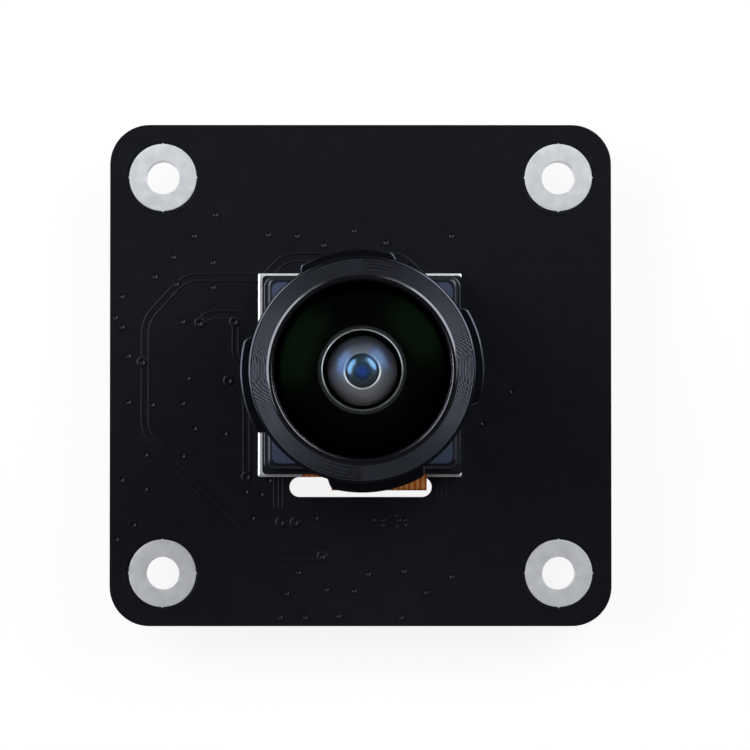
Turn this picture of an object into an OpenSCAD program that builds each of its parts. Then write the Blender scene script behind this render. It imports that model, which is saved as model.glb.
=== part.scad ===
// Fisheye camera module: a lens and image sensor on a square carrier board.
// Origin: centre of the four-hole pattern, on the rear face of the circuit board.
// +Z runs along the optical axis towards the scene, +Y is up in the picture. Millimetres.

/* [Circuit board] */
// Length of each side of the square board
board_w = 38; // [36.5:0.5:42]
// Thickness of the board
board_t = 1.6; // [1:0.1:2]
// Radius of the board's corners
board_corner_r = 3; // [1:0.25:3.5]
// Distance between neighbouring mounting holes
hole_pitch = 30; // [29:0.25:31]
// Clear diameter of a mounting hole
hole_d = 2.5; // [2.2:0.1:3]
// Diameter of the bare metal land round a mounting hole
land_d = 5.1; // [4.4:0.1:5.6]
// Thickness of the hole's plating and of its lands
plating_t = 0.05; // [0.04:0.01:0.1]
// Length of the slot that the flexible tail goes through
slot_w = 10.8; // [10:0.2:12]
// Width of that slot
slot_h = 1.5; // [1.4:0.1:2]

/* [Sensor package] */
// Side of the steel stiffener plate
plate_w = 15.4; // [15.1:0.1:16]
// Sideways offset of the plate from the board's middle
plate_x = -0.06; // [-0.1:0.02:0.1]
// Thickness of the stiffener plate
plate_t = 0.25; // [0.15:0.05:0.4]
// Side of the adhesive tape pad
tape_w = 14.4; // [12:0.2:15]
// Thickness of the adhesive tape pad
tape_t = 0.1; // [0.1:0.05:0.3]
// Width of the rigid sensor board
carrier_w = 15.1; // [14.8:0.1:15.2]
// Height of the rigid sensor board
carrier_h = 15; // [14.8:0.1:15.2]
// Thickness of the rigid sensor board
carrier_t = 0.5; // [0.4:0.05:0.8]
// Sideways offset of the sensor board, holder and lens from the board's centre
module_x = 0.12; // [-0.2:0.02:0.2]
// Width of the sensor chip
chip_w = 8.2; // [7:0.1:9]
// Height of the sensor chip
chip_h = 6.5; // [5.5:0.1:7]
// Thickness of the sensor chip
chip_t = 0.3; // [0.2:0.05:0.5]

/* [Lens holder] */
// Side of the holder's square body
holder_w = 14.2; // [14:0.1:14.5]
// Radius of the holder's upright corners
holder_corner_r = 0.5; // [0.3:0.1:1]
// Height of the square body
holder_h = 6; // [5:0.25:7]
// Side of the skirt at the foot of the holder
skirt_w = 14.7; // [14.6:0.1:14.8]
// Height of the skirt
skirt_h = 1.2; // [0.8:0.1:1.6]
// Radius of the rounding round the top of the square body
holder_edge_r = 0.38; // [0.2:0.02:0.44]
// Diameter of the round collar on top
collar_d = 13.6; // [13.3:0.1:14]
// Height of the collar
collar_h = 2; // [1.5:0.25:2.5]
// Side of the square space over the sensor
chamber_w = 11.6; // [11:0.2:12]
// Height of that space
chamber_h = 1.7; // [1.5:0.1:2]
// Thickness of the shelf over that space
shelf_t = 0.8; // [0.6:0.1:1.2]
// Diameter of the window in the shelf
window_d = 7.4; // [6:0.2:8]
// Nominal diameter of the lens thread
thread_d = 12; // [11.9:0.05:12.1]
// Side of the infrared filter
filter_w = 8.8; // [8.6:0.1:9.4]
// Thickness of the infrared filter
filter_t = 0.3; // [0.2:0.05:0.4]

/* [Lens barrel] */
// Gap between the holder's shelf and the barrel's rear end
focus_gap = 0.3; // [0.2:0.05:0.6]
// Length of the barrel's neck, from its rear end to the gripping flange
neck_l = 7.05; // [6.9:0.05:8]
// Radius over the four lobes of the gripping flange
flange_r = 8.9; // [8.7:0.05:9.2]
// Radius at the foot of the notches between the lobes
notch_r = 8; // [7.8:0.05:8.2]
// Thickness of the gripping flange
flange_t = 1.7; // [1.4:0.1:2]
// Angle that one lobe covers at its rim
lobe_angle = 45; // [40:1:50]
// Turn of the lobes about the optical axis
lobe_turn = 8.5; // [0:0.5:20]
// Bevel along the rim of the flange
flange_bevel = 0.12; // [0.05:0.01:0.2]
// Outer radius of the head inside the front ring
head_r = 7.4; // [7.35:0.05:7.5]
// Height of the head over the flange
head_h = 2.4; // [2.3:0.05:2.7]
// Height of the adhesive round the neck
glue_h = 0.6; // [0.3:0.05:0.9]

/* [Front ring] */
// Outer radius of the front ring
ring_r = 8.3; // [8.2:0.05:8.5]
// Radius of the rounding along the ring's outer edge
ring_edge_r = 0.28; // [0.1:0.02:0.35]
// Radius of the cord of the bead that is rolled in round the glass
bead_cord_r = 0.25; // [0.2:0.01:0.28]
// Height of the bead's crown over the ring's face
bead_rise = 0.17; // [0.12:0.01:0.2]
// Radius of the opening that clamps the front element
lip_r = 6.5; // [6.4:0.05:6.6]
// Thickness of the clamping lip
lip_t = 0.2; // [0.15:0.05:0.3]
// Height of the face over the clamping lip
face_rise = 0.35; // [0.25:0.05:0.5]

/* [Optics] */
// Radius of the front element's rim
front_rim_r = 7; // [6.9:0.05:7]
// Radius of curvature of the front element's dome
dome_r = 10.4; // [9.8:0.1:12]
// Depth from the top of the head down to the ledge under the front element
seat_depth = 1.8; // [1.7:0.05:1.9]
// Radius of the hollow in the front element's rear face, at its edge
hollow_edge_r = 2.38; // [2:0.02:2.8]
// Radius of curvature of that hollow
hollow_r = 3.3; // [3:0.1:4]
// Radius of the second element's rim
second_rim_r = 4.9; // [4.7:0.05:4.9]
// Radius of curvature of the second element's front
second_front_r = 9; // [8.6:0.2:11]
// Radius of the second element's rear hollow, at its edge
second_hollow_edge_r = 1.5; // [1.2:0.05:1.8]
// Radius of curvature of that rear hollow
second_hollow_r = 3.6; // [2.5:0.1:4.5]
// Thickness of the second element on the axis, over its flat rear face
second_t = 1.7; // [1.65:0.05:1.9]
// Thickness of the third element on the axis
third_t = 2.5; // [2:0.05:2.7]
// Radius of curvature of the third element's front
third_front_r = 8; // [7:0.2:10]
// Radius of the rims of the inner elements
inner_rim_r = 4.15; // [4:0.05:4.15]
// Radius of the hole in the aperture stop
stop_hole_r = 0.9; // [0.6:0.05:1.4]
// Thickness of the aperture stop
stop_t = 0.15; // [0.1:0.05:0.2]
// Thickness of the rear element's rim
rear_rim_t = 1.2; // [1:0.1:1.4]
// Thickness of the lip that holds the rear element
rear_lip_t = 0.5; // [0.4:0.1:0.7]
// Thickness of the cord of the sealing ring
seal_d = 0.36; // [0.3:0.02:0.36]

/* [Flexible tail] */
// Thickness of the flexible tail
tail_t = 0.12; // [0.1:0.01:0.15]
// Radius of the tail's bends, at mid-thickness
tail_bend_r = 0.7; // [0.6:0.05:0.75]
// Left edge of the tail
tail_x0 = -2.2; // [-3:0.1:-1.5]
// Right edge of the tail
tail_x1 = 5; // [4:0.1:5.1]
// Left end of the shoulder beside the tail
shoulder_x0 = -4.4; // [-5.2:0.1:-3.4]
// How far the shoulder stands out of the sensor board
shoulder_out = 0.22; // [0.15:0.01:0.3]
// Length of the socket's long side
socket_w = 8.8; // [8.6:0.1:9.4]
// Length of the socket's short side
socket_h = 3; // [2.8:0.1:3.2]
// Height of the mated plug and socket
mated_h = 0.9; // [0.85:0.05:1.1]
// Number of contacts along one side of the socket
socket_pins = 15; // [10:1:16]

/* [Cable connector] */
// Number of ways of the cable connector
cable_ways = 15; // [10:1:15]
// Distance between neighbouring ways
cable_pitch = 1; // [0.9:0.05:1.05]
// Height of the connector's housing
housing_h = 2.5; // [2.4:0.05:2.8]
// Depth of the housing from mouth to rear
housing_depth = 4.6; // [4.4:0.1:5]
// Distance from the board's lower edge to the housing's mouth
mouth_inset = 2.1; // [1.5:0.1:2.6]
// Distance that the latch slides between locked and open
latch_travel = 1; // [0.8:0.05:1.2]

/* [Small parts] */
// Length of a chip capacitor or resistor
passive_l = 1; // [0.9:0.05:1.1]
// Width of a chip capacitor or resistor
passive_w = 0.5; // [0.4:0.05:0.6]
// Height of a chip capacitor
capacitor_h = 0.5; // [0.4:0.05:0.6]
// Height of a chip resistor
resistor_h = 0.35; // [0.3:0.05:0.4]
// Distance between neighbouring chip parts of a row
passive_pitch = 2; // [1.9:0.05:2.1]
// Length of an inductor
inductor_l = 2; // [1.8:0.1:2.2]
// Width of an inductor
inductor_w = 1.25; // [1.1:0.05:1.4]
// Height of an inductor
inductor_h = 0.9; // [0.7:0.05:1]
// Length of a voltage regulator's body
regulator_l = 2.9; // [2.7:0.1:3]
// Width of a voltage regulator's body
regulator_w = 1.6; // [1.5:0.05:1.7]
// Height of a voltage regulator's body
regulator_h = 1; // [0.8:0.05:1.1]
// Length of a level shifter's body
shifter_l = 2; // [1.8:0.1:2.2]
// Width of a level shifter's body
shifter_w = 1.25; // [1.1:0.05:1.4]
// Height of a level shifter's body
shifter_h = 0.9; // [0.7:0.05:1]
// Size of the memory chip along the board's x
memory_l = 2; // [1.8:0.1:2.2]
// Size of the memory chip along the board's y
memory_w = 3; // [2.8:0.1:3.2]
// Height of the memory chip
memory_h = 0.75; // [0.6:0.05:0.9]
// Length of the oscillator's base
oscillator_l = 3.2; // [3:0.1:3.4]
// Width of the oscillator's base
oscillator_w = 2.5; // [2.3:0.1:2.6]
// Height of the oscillator's base
oscillator_h = 0.5; // [0.4:0.05:0.6]

/* [Hidden] */
$fn = 96;

cut = 1;                 // how far a cutting shape runs past the face it cuts
slide_gap = 0.05;        // radial clearance of a round fit
spacer_wall = 0.5;                       // of the middle spacer
seat_gap = 0.02;         // clearance between a glass surface and its clamping edge

// Heights of the layers in front of the board
tape_z = board_t;
plate_z = tape_z + tape_t;
carrier_z = plate_z + plate_t;
chip_z = carrier_z + carrier_t;
holder_z = chip_z;
shelf_z = holder_z + chamber_h;
body_top_z = holder_z + holder_h;
collar_top_z = body_top_z + collar_h;

// Heights along the lens barrel
barrel_z = shelf_z + shelf_t + focus_gap;
neck_r = thread_d / 2 - slide_gap;
flange_z = barrel_z + neck_l;
head_z = flange_z + flange_t;
head_top_z = head_z + head_h;
lip_z = head_top_z + 2 * seat_gap + seal_d;
lip_top_z = lip_z + lip_t;
face_z = lip_top_z + face_rise;
seat_z = head_top_z - seat_depth;       // ledge under the front element
second_top_z = seat_z - 0.3;
second_seat_z = second_top_z - second_t; // ledge under the second element
rear_bore_z = barrel_z + rear_lip_t;

front_bore_r = front_rim_r + slide_gap;
second_bore_r = second_rim_r + slide_gap;
inner_bore_r = inner_rim_r + slide_gap;
ring_bore_r = head_r + slide_gap;

// Heights of the dome and of the glass inside the barrel
dome_contact_z = lip_z - seat_gap;
dome_top_z = dome_contact_z + sag(dome_r, lip_r);
rear_element_z = rear_bore_z;
rear_spacer_z = rear_element_z + rear_rim_t;
rear_spacer_t = 0.65;
fifth_z = rear_spacer_z + rear_spacer_t;
fifth_t = 1;
cement_t = 0.01;
fourth_z = fifth_z + fifth_t + cement_t;
fourth_t = 1.1;
stop_z = fourth_z + fourth_t;
third_z = stop_z + stop_t;
doublet_r = 6;
rear_front_r = 9;

// Places on the board
slot_y = -(plate_w / 2 + slot_h / 2 + 0.02);
tail_y = slot_y - 0.2;                   // mid-thickness of the tail's upright run
tail_front_z = carrier_z + carrier_t / 2;
tail_rear_z = -mated_h - tail_t / 2;
plug_x = (tail_x0 + tail_x1) / 2;
plug_y = -3.2;
plug_gap = 0.06;                         // clearance between plug and socket
plug_floor = 0.15;                       // thickness of the socket's floor
socket_t = mated_h - 0.1;
socket_wall = 0.35;
stiffener_w = socket_w + 0.2;
stiffener_h = socket_h + 1.2;
stiffener_t = 0.2;

// Cable connector, in its own frame: mouth towards +Y, board at z = 0
cable_w = (cable_ways - 1) * cable_pitch + 2.2;
housing_side = 2.2;                      // housing beyond each edge of the cable
housing_w = cable_w + 2 * housing_side;
floor_t = 0.5;
cavity_h = 1.25;
cavity_depth = 3.6;
contact_w = 0.25;
contact_t = 0.18;
contact_slot_w = 0.36;
sill_l = 1.1;
latch_gap = 0.06;
latch_bar_l = 1.1;
blade_t = 0.5;
arm_t = 0.4;
tab_t = 0.2;                             // solder tabs at the housing's ends
tab_l = 1.2;
tab_foot = 0.9;
arm_l = latch_travel + 1.4;              // the arms still hold the housing when it is open
mouth_y = -(board_w / 2 - mouth_inset);

// Places of the small parts on the rear face: [x, y, turn]
logic_y = 9.4;                           // row of the level shifters and the memory chip
supply_x = -11.6;                        // column of the voltage regulators
supply_y = -1.4;                         // the middle one
supply_pitch = 5;
clock_x = 10.6;
clock_y = -6.4;
shifter_x = 5.3;
supply_gap = 3.1;                        // from a regulator's middle to each of its capacitors
shifter_gap = 2.5;
clock_gap = 3;
row_x = 8.2;                             // first capacitor of the right-hand row
row_y = 2.4;
pull_up_y = 6.2;
left_choke_x = -5.2;
left_choke_y = -1.8;
right_choke_x = 7.8;
right_choke_y = -5.8;
lid_inset = 0.2;
lid_t = 0.2;
across = 90;
regulator_rows = [for (i = [-1 : 1]) supply_y + i * supply_pitch];
regulator_spots = [for (y = regulator_rows) [supply_x, y, 0]];
shifter_spots = [for (side = [-1, 1]) [side * shifter_x, logic_y, 0]];
memory_spot = [0, logic_y, 0];
oscillator_spot = [clock_x, clock_y, across];
capacitor_spots = [
    for (y = regulator_rows, side = [-1, 1]) [supply_x + supply_gap * side, y, across],
    for (i = [0 : 3]) [row_x + i * passive_pitch, supply_y, across],
    for (i = [-2 : 2]) [i * passive_pitch, row_y, across],
    for (spot = shifter_spots, side = [-1, 1]) [spot[0] + shifter_gap * side, logic_y, across],
    [clock_x + clock_gap, clock_y, across],
];
resistor_spots = [
    for (i = [0 : 3]) [row_x - passive_l + i * passive_pitch, row_y, across],
    for (i = [-3, -2]) [i * passive_pitch, right_choke_y, 0],
    for (side = [-1, 1]) [clock_x + side * clock_gap / 2, clock_y - clock_gap, 0],
    for (i = [-3 : 3]) [i * passive_pitch, pull_up_y, 0],
];
inductor_spots = [[left_choke_x, left_choke_y, across], [right_choke_x, right_choke_y, across]];

function sag(r, half) = r - sqrt(r * r - half * half);
function polar(r, a) = [r * cos(a), r * sin(a)];

// ---------- shared shapes ----------

// Square with round corners, centred
module rounded_square(w, h, r) {
    square([w - 2 * r, h], center = true);
    square([w, h - 2 * r], center = true);
    for (x = [-1, 1], y = [-1, 1])
        translate([x * (w / 2 - r), y * (h / 2 - r)]) circle(r);
}

module rounded_plate(w, h, r, t) {
    linear_extrude(t) rounded_square(w, h, r);
}

module tube(r_out, r_in, h) {
    difference() {
        cylinder(r = r_out, h = h);
        translate([0, 0, -cut]) cylinder(r = r_in, h = h + 2 * cut);
    }
}

module on_module_axis() {
    translate([module_x, 0, 0]) children();
}

// Mirrors its children across x = 0 when side is negative
module mirror_x(side) {
    mirror([side < 0 ? 1 : 0, 0, 0]) children();
}

// Places a part on the rear face, with its own z = 0 on that face
module on_rear(spot) {
    translate([spot[0], spot[1], 0]) rotate([180, 0, 0]) rotate(spot[2]) children();
}

module at_holes() {
    for (x = [-1, 1], y = [-1, 1])
        translate([x * hole_pitch / 2, y * hole_pitch / 2]) children();
}

// ---------- circuit board ----------

module slot_outline() {
    translate([0, slot_y]) {
        square([slot_w - slot_h, slot_h], center = true);
        for (x = [-1, 1]) translate([x * (slot_w - slot_h) / 2, 0]) circle(d = slot_h);
    }
}

module circuit_board() {
    color("#16181c")
    linear_extrude(board_t)
    difference() {
        rounded_square(board_w, board_w, board_corner_r);
        at_holes() circle(d = hole_d + 2 * plating_t);
        slot_outline();
    }
}

// One plated hole: a barrel with a flat land on each face of the board
module plated_hole() {
    rotate_extrude()
    polygon([
        [hole_d / 2, -plating_t],
        [land_d / 2, -plating_t],
        [land_d / 2, 0],
        [hole_d / 2 + plating_t, 0],
        [hole_d / 2 + plating_t, board_t],
        [land_d / 2, board_t],
        [land_d / 2, board_t + plating_t],
        [hole_d / 2, board_t + plating_t],
    ]);
}

module mounting_lands() {
    color("#c9ccd2") at_holes() plated_hole();
}

// ---------- sensor package ----------

module adhesive_tape() {
    color("#3a3a3c") translate([0, 0, tape_z]) rounded_plate(tape_w, tape_w, 0.3, tape_t);
}

module stiffener_plate() {
    color("#d9dcdf") translate([plate_x, 0, plate_z]) rounded_plate(plate_w, plate_w, 0.5, plate_t);
}

module sensor_board() {
    color("#0d1013") translate([module_x, 0, carrier_z])
        rounded_plate(carrier_w, carrier_h, 0.3, carrier_t);
}

module image_sensor() {
    color("#3c4654") on_module_axis() translate([-chip_w / 2, -chip_h / 2, chip_z])
        cube([chip_w, chip_h, chip_t]);
}

// Side view of the folded tail, as y and z: out of the sensor board, down the slot, back under the board
module tail_side_view(y_end) {
    half = tail_t / 2;
    front_y = -carrier_h / 2;
    bend_y = tail_y + tail_bend_r;
    translate([bend_y, tail_front_z - half]) square([front_y - bend_y, tail_t]);
    translate([tail_y - half, tail_rear_z + tail_bend_r])
        square([tail_t, tail_front_z - tail_rear_z - 2 * tail_bend_r]);
    translate([bend_y, tail_rear_z - half]) square([y_end - bend_y, tail_t]);
    for (side = [[tail_front_z - tail_bend_r, 1], [tail_rear_z + tail_bend_r, -1]])
        translate([bend_y, side[0]])
        intersection() {
            difference() {
                circle(tail_bend_r + half);
                circle(tail_bend_r - half);
            }
            translate([-2 * tail_bend_r, side[1] > 0 ? 0 : -2 * tail_bend_r])
                square(2 * tail_bend_r);
        }
}

module flexible_tail() {
    pad_y0 = plug_y - stiffener_h / 2;
    color("#c8662c") {
        translate([tail_x0, 0, 0]) rotate([90, 0, 90])
            linear_extrude(tail_x1 - tail_x0) tail_side_view(pad_y0);
        translate([shoulder_x0, -carrier_h / 2 - shoulder_out, tail_front_z - tail_t / 2])
            cube([tail_x0 - shoulder_x0, shoulder_out, tail_t]);
        translate([plug_x - stiffener_w / 2, pad_y0, tail_rear_z - tail_t / 2])
            cube([stiffener_w, stiffener_h, tail_t]);
    }
}

// ---------- lens holder ----------

// Side view of a block with rounded top edges
module rounded_top_section(w, h, edge_r) {
    translate([-w / 2, 0]) square([w, h - edge_r]);
    translate([-w / 2 + edge_r, 0]) square([w - 2 * edge_r, h]);
    for (side = [-1, 1]) translate([side * (w / 2 - edge_r), h - edge_r]) circle(edge_r);
}

// Square block with rounded upright corners and rounded top edges
module rounded_top_block(w, corner_r, h, edge_r) {
    intersection() {
        rounded_plate(w, w, corner_r, h);
        rotate([90, 0, 0]) translate([0, 0, -w / 2]) linear_extrude(w) rounded_top_section(w, h, edge_r);
        rotate([90, 0, 90]) translate([0, 0, -w / 2]) linear_extrude(w) rounded_top_section(w, h, edge_r);
    }
}

module holder_body() {
    translate([0, 0, holder_z]) {
        rounded_plate(skirt_w, skirt_w, holder_corner_r + (skirt_w - holder_w) / 2, skirt_h);
        rounded_top_block(holder_w, holder_corner_r, holder_h, holder_edge_r);
        cylinder(d = collar_d, h = holder_h + collar_h);
    }
}

module lens_holder() {
    color("#15171c") on_module_axis()
    difference() {
        holder_body();
        translate([-chamber_w / 2, -chamber_w / 2, holder_z - cut])
            cube([chamber_w, chamber_w, chamber_h - filter_t + cut]);
        translate([-filter_w / 2 - slide_gap, -filter_w / 2 - slide_gap, holder_z])
            cube([filter_w + 2 * slide_gap, filter_w + 2 * slide_gap, chamber_h]);
        translate([0, 0, shelf_z - cut]) cylinder(d = window_d, h = shelf_t + 2 * cut);
        translate([0, 0, shelf_z + shelf_t]) cylinder(d = thread_d, h = holder_h + collar_h);
    }
}

module infrared_filter() {
    color("#9fd0c9", 0.5) on_module_axis()
        translate([-filter_w / 2, -filter_w / 2, shelf_z - filter_t])
        cube([filter_w, filter_w, filter_t]);
}

// ---------- lens barrel ----------

// One lobe of the gripping flange, with slanted ends
module lobe_outline() {
    intersection() {
        circle(flange_r);
        polygon([
            [0, 0],
            polar(notch_r, -lobe_angle / 2 - 3),
            polar(flange_r, -lobe_angle / 2),
            polar(flange_r * 1.3, -lobe_angle / 3),
            polar(flange_r * 1.3, lobe_angle / 3),
            polar(flange_r, lobe_angle / 2),
            polar(notch_r, lobe_angle / 2 + 3),
        ]);
    }
}

module gripping_flange() {
    intersection() {
        linear_extrude(flange_t) {
            circle(notch_r);
            for (a = [0:90:270]) rotate(a + lobe_turn) lobe_outline();
        }
        rotate_extrude()
        polygon([
            [0, 0],
            [flange_r - flange_bevel, 0],
            [flange_r + seat_gap, flange_bevel],
            [flange_r + seat_gap, flange_t - flange_bevel],
            [flange_r - flange_bevel, flange_t],
            [0, flange_t],
        ]);
    }
}

module barrel_bores() {
    translate([0, 0, barrel_z - cut]) cylinder(r = inner_bore_r - 0.9, h = rear_lip_t + 2 * cut);
    translate([0, 0, rear_bore_z]) cylinder(r = inner_bore_r, h = second_seat_z - rear_bore_z + cut);
    translate([0, 0, second_seat_z]) cylinder(r = second_bore_r, h = seat_z - second_seat_z + cut);
    translate([0, 0, seat_z]) cylinder(r = front_bore_r, h = seat_depth + cut);
}

module lens_barrel() {
    color("#101114") on_module_axis()
    difference() {
        union() {
            translate([0, 0, barrel_z]) cylinder(r = neck_r, h = neck_l);
            translate([0, 0, flange_z]) gripping_flange();
            translate([0, 0, head_z]) cylinder(r = head_r, h = head_h);
        }
        barrel_bores();
    }
}

module locking_adhesive() {
    color("#d8d2c0") on_module_axis() translate([0, 0, collar_top_z])
    rotate_extrude()
    polygon([[neck_r, 0], [neck_r + glue_h, 0], [neck_r + glue_h / 3, glue_h / 3], [neck_r, glue_h]]);
}

// ---------- front ring ----------

// Half section of the wall, the flat face with its rounded outer edge, and the lip over the glass
module ring_wall_section() {
    edge_x = ring_r - ring_edge_r;
    translate([ring_bore_r, head_z]) square([edge_x - ring_bore_r, face_z - head_z]);
    translate([edge_x, head_z]) square([ring_edge_r, face_z - ring_edge_r - head_z]);
    translate([edge_x, face_z - ring_edge_r]) circle(ring_edge_r, $fn = 48);
    translate([lip_r, lip_z]) square([ring_bore_r - lip_r, lip_t]);
}

// Half section of the rolled bead and of the web that carries it
module rolled_bead_section() {
    bead_x = lip_r + bead_cord_r + 0.01;
    translate([bead_x, lip_z]) square([ring_bore_r - bead_x, face_z - lip_z]);
    translate([bead_x, face_z + bead_rise - bead_cord_r]) circle(bead_cord_r, $fn = 48);
}

module front_ring() {
    color("#1b1c21") on_module_axis() rotate_extrude() {
        ring_wall_section();
        rolled_bead_section();
    }
}

module sealing_ring() {
    color("#202022") on_module_axis()
    translate([0, 0, head_top_z + seat_gap + seal_d / 2])
        rotate_extrude() translate([front_rim_r + seat_gap + seal_d / 2, 0]) circle(d = seal_d, $fn = 24);
}

// ---------- optics ----------

module front_element() {
    hollow_z = seat_z - sqrt(hollow_r * hollow_r - hollow_edge_r * hollow_edge_r);
    color("#223028", 0.6) on_module_axis()
    difference() {
        intersection() {
            translate([0, 0, seat_z]) cylinder(r = front_rim_r, h = dome_top_z - seat_z + cut);
            translate([0, 0, dome_top_z - dome_r]) sphere(dome_r, $fn = 160);
        }
        translate([0, 0, hollow_z]) sphere(hollow_r);
    }
}

module front_spacer() {
    spacer_r = second_rim_r - 0.5;
    z0 = second_top_z - sag(second_front_r, spacer_r) + seat_gap;
    color("#0c0c0e") on_module_axis() translate([0, 0, z0])
        tube(second_rim_r, spacer_r, seat_z - z0);
}

module second_element() {
    hollow_z = second_seat_z - sqrt(second_hollow_r ^ 2 - second_hollow_edge_r ^ 2);
    color("#8fa3b8", 0.6) on_module_axis()
    difference() {
        intersection() {
            translate([0, 0, second_seat_z])
                cylinder(r = second_rim_r, h = second_top_z - second_seat_z + cut);
            translate([0, 0, second_top_z - second_front_r]) sphere(second_front_r, $fn = 160);
        }
        translate([0, 0, hollow_z]) sphere(second_hollow_r);
    }
}

module third_element() {
    color("#8fa3b8", 0.6) on_module_axis()
    intersection() {
        translate([0, 0, third_z]) cylinder(r = inner_rim_r, h = third_t);
        translate([0, 0, third_z + third_t - third_front_r]) sphere(third_front_r);
    }
}

module middle_spacer() {
    z0 = third_z + third_t - sag(third_front_r, inner_rim_r - spacer_wall) + seat_gap;
    color("#0c0c0e") on_module_axis() translate([0, 0, z0])
        tube(inner_rim_r, inner_rim_r - spacer_wall, second_seat_z - z0);
}

module aperture_stop() {
    color("#0c0c0e") on_module_axis() translate([0, 0, stop_z])
        tube(inner_rim_r, stop_hole_r, stop_t);
}

module fourth_element() {
    color("#8fa3b8", 0.6) on_module_axis() translate([0, 0, fourth_z])
        cylinder(r = inner_rim_r, h = fourth_t);
}

module fifth_element() {
    color("#8fa3b8", 0.6) on_module_axis()
    difference() {
        translate([0, 0, fifth_z]) cylinder(r = inner_rim_r, h = fifth_t);
        translate([0, 0, fifth_z - doublet_r + sag(doublet_r, inner_rim_r - 0.9)])
            sphere(doublet_r);
    }
}

module rear_spacer() {
    color("#0c0c0e") on_module_axis() translate([0, 0, rear_spacer_z])
        tube(inner_rim_r, inner_rim_r - 0.7, rear_spacer_t);
}

module rear_element() {
    color("#8fa3b8", 0.6) on_module_axis()
    intersection() {
        translate([0, 0, rear_element_z]) cylinder(r = inner_rim_r, h = rear_rim_t + rear_spacer_t);
        translate([0, 0, rear_spacer_z + sag(rear_front_r, inner_rim_r - 0.75) - rear_front_r])
            sphere(rear_front_r);
    }
}

// ---------- plug and socket of the tail ----------

module tail_plug() {
    w = socket_w - 2 * socket_wall - 2 * plug_gap;
    h = socket_h - 2 * socket_wall - 2 * plug_gap;
    height = mated_h - plug_floor - plug_gap;
    color("#2b2b2e") translate([plug_x, plug_y, -mated_h])
    difference() {
        translate([-w / 2, -h / 2, 0]) cube([w, h, height]);
        translate([-w / 2 + 0.5, -h / 6, 0.15]) cube([w - 1, h / 3, height]);
    }
}

module plug_stiffener() {
    color("#c4c7cb")
    translate([plug_x - stiffener_w / 2, plug_y - stiffener_h / 2, tail_rear_z - tail_t / 2 - stiffener_t])
        cube([stiffener_w, stiffener_h, stiffener_t]);
}

module board_socket() {
    inner_w = socket_w - 2 * socket_wall;
    inner_h = socket_h - 2 * socket_wall;
    color("#e4dfd2") translate([plug_x, plug_y, -socket_t])
    difference() {
        translate([-socket_w / 2, -socket_h / 2, 0]) cube([socket_w, socket_h, socket_t]);
        translate([-inner_w / 2, -inner_h / 2, -cut])
            cube([inner_w, inner_h, socket_t - plug_floor + cut]);
    }
}

module socket_contacts() {
    pitch = 0.4;
    color("#d8b45a")
    for (i = [0 : socket_pins - 1], side = [-1, 1])
        translate([
            plug_x + (i - (socket_pins - 1) / 2) * pitch - 0.1,
            side > 0 ? plug_y + socket_h / 2 : plug_y - socket_h / 2 - 0.45,
            -0.15
        ])
        cube([0.2, 0.45, 0.15]);
}

// ---------- cable connector ----------

module at_connector() {
    on_rear([0, mouth_y, 0]) children();
}

module at_ways() {
    for (i = [0 : cable_ways - 1])
        translate([(i - (cable_ways - 1) / 2) * cable_pitch, 0, 0]) children();
}

// Side view of the housing, as y and z, with its mouth at y = 0
module housing_side_view() {
    bevel = 0.3;
    polygon([
        [0, 0], [0, housing_h - bevel], [-bevel, housing_h],
        [-housing_depth + 2 * bevel, housing_h], [-housing_depth, housing_h - 2 * bevel],
        [-housing_depth, 0],
    ]);
}

// Side view of the space for the cable, flared at the mouth
module cavity_side_view() {
    flare = 0.2;
    top = floor_t + cavity_h;
    polygon([
        [cut, floor_t], [-cavity_depth, floor_t], [-cavity_depth, top],
        [-flare, top], [0, top + flare], [cut, top + flare],
    ]);
}

module across_connector(w) {
    translate([-w / 2, 0, 0]) rotate([90, 0, 90]) linear_extrude(w) children();
}

module connector_housing() {
    color("#e8e4d8") at_connector()
    difference() {
        union() {
            across_connector(housing_w) housing_side_view();
            translate([-cable_w / 2 - 0.3, 0, 0]) cube([cable_w + 0.6, sill_l, floor_t - 0.05]);
        }
        across_connector(cable_w) cavity_side_view();
        at_ways() translate([-contact_slot_w / 2, -housing_depth - cut, -cut])
            cube([contact_slot_w, housing_depth - cavity_depth + 2 * cut, floor_t + contact_t + cut]);
    }
}

// Side view of one contact, as y and z: beam on the cavity floor, riser and solder tail
module contact_side_view() {
    riser_y = -housing_depth + 0.35;
    translate([riser_y, floor_t]) square([-0.7 - riser_y, contact_t]);
    translate([riser_y, 0]) square([contact_t, floor_t + contact_t]);
    translate([-housing_depth - 0.75, 0]) square([riser_y + contact_t + housing_depth + 0.75, contact_t]);
}

module connector_contacts() {
    color("#cfae62") at_connector() at_ways()
        translate([-contact_w / 2, 0, 0]) rotate([90, 0, 90]) linear_extrude(contact_w) contact_side_view();
}

module connector_tabs() {
    color("#c9ccd2") at_connector()
    for (side = [-1, 1]) mirror_x(side)
        translate([housing_w / 2, tab_t - housing_depth, 0]) {
            cube([tab_t, tab_l, housing_h / 2]);
            cube([tab_foot, tab_l, tab_t]);
        }
}

// Side view of the latch's bar, as y and z, with both outer edges bevelled
module latch_bar_side_view(low, high) {
    bevel = 0.25;
    y1 = latch_gap + latch_bar_l;
    polygon([
        [latch_gap, low], [y1, low], [y1, high - bevel], [y1 - bevel, high],
        [latch_gap + bevel / 2, high], [latch_gap, high - bevel / 2],
    ]);
}

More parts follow.
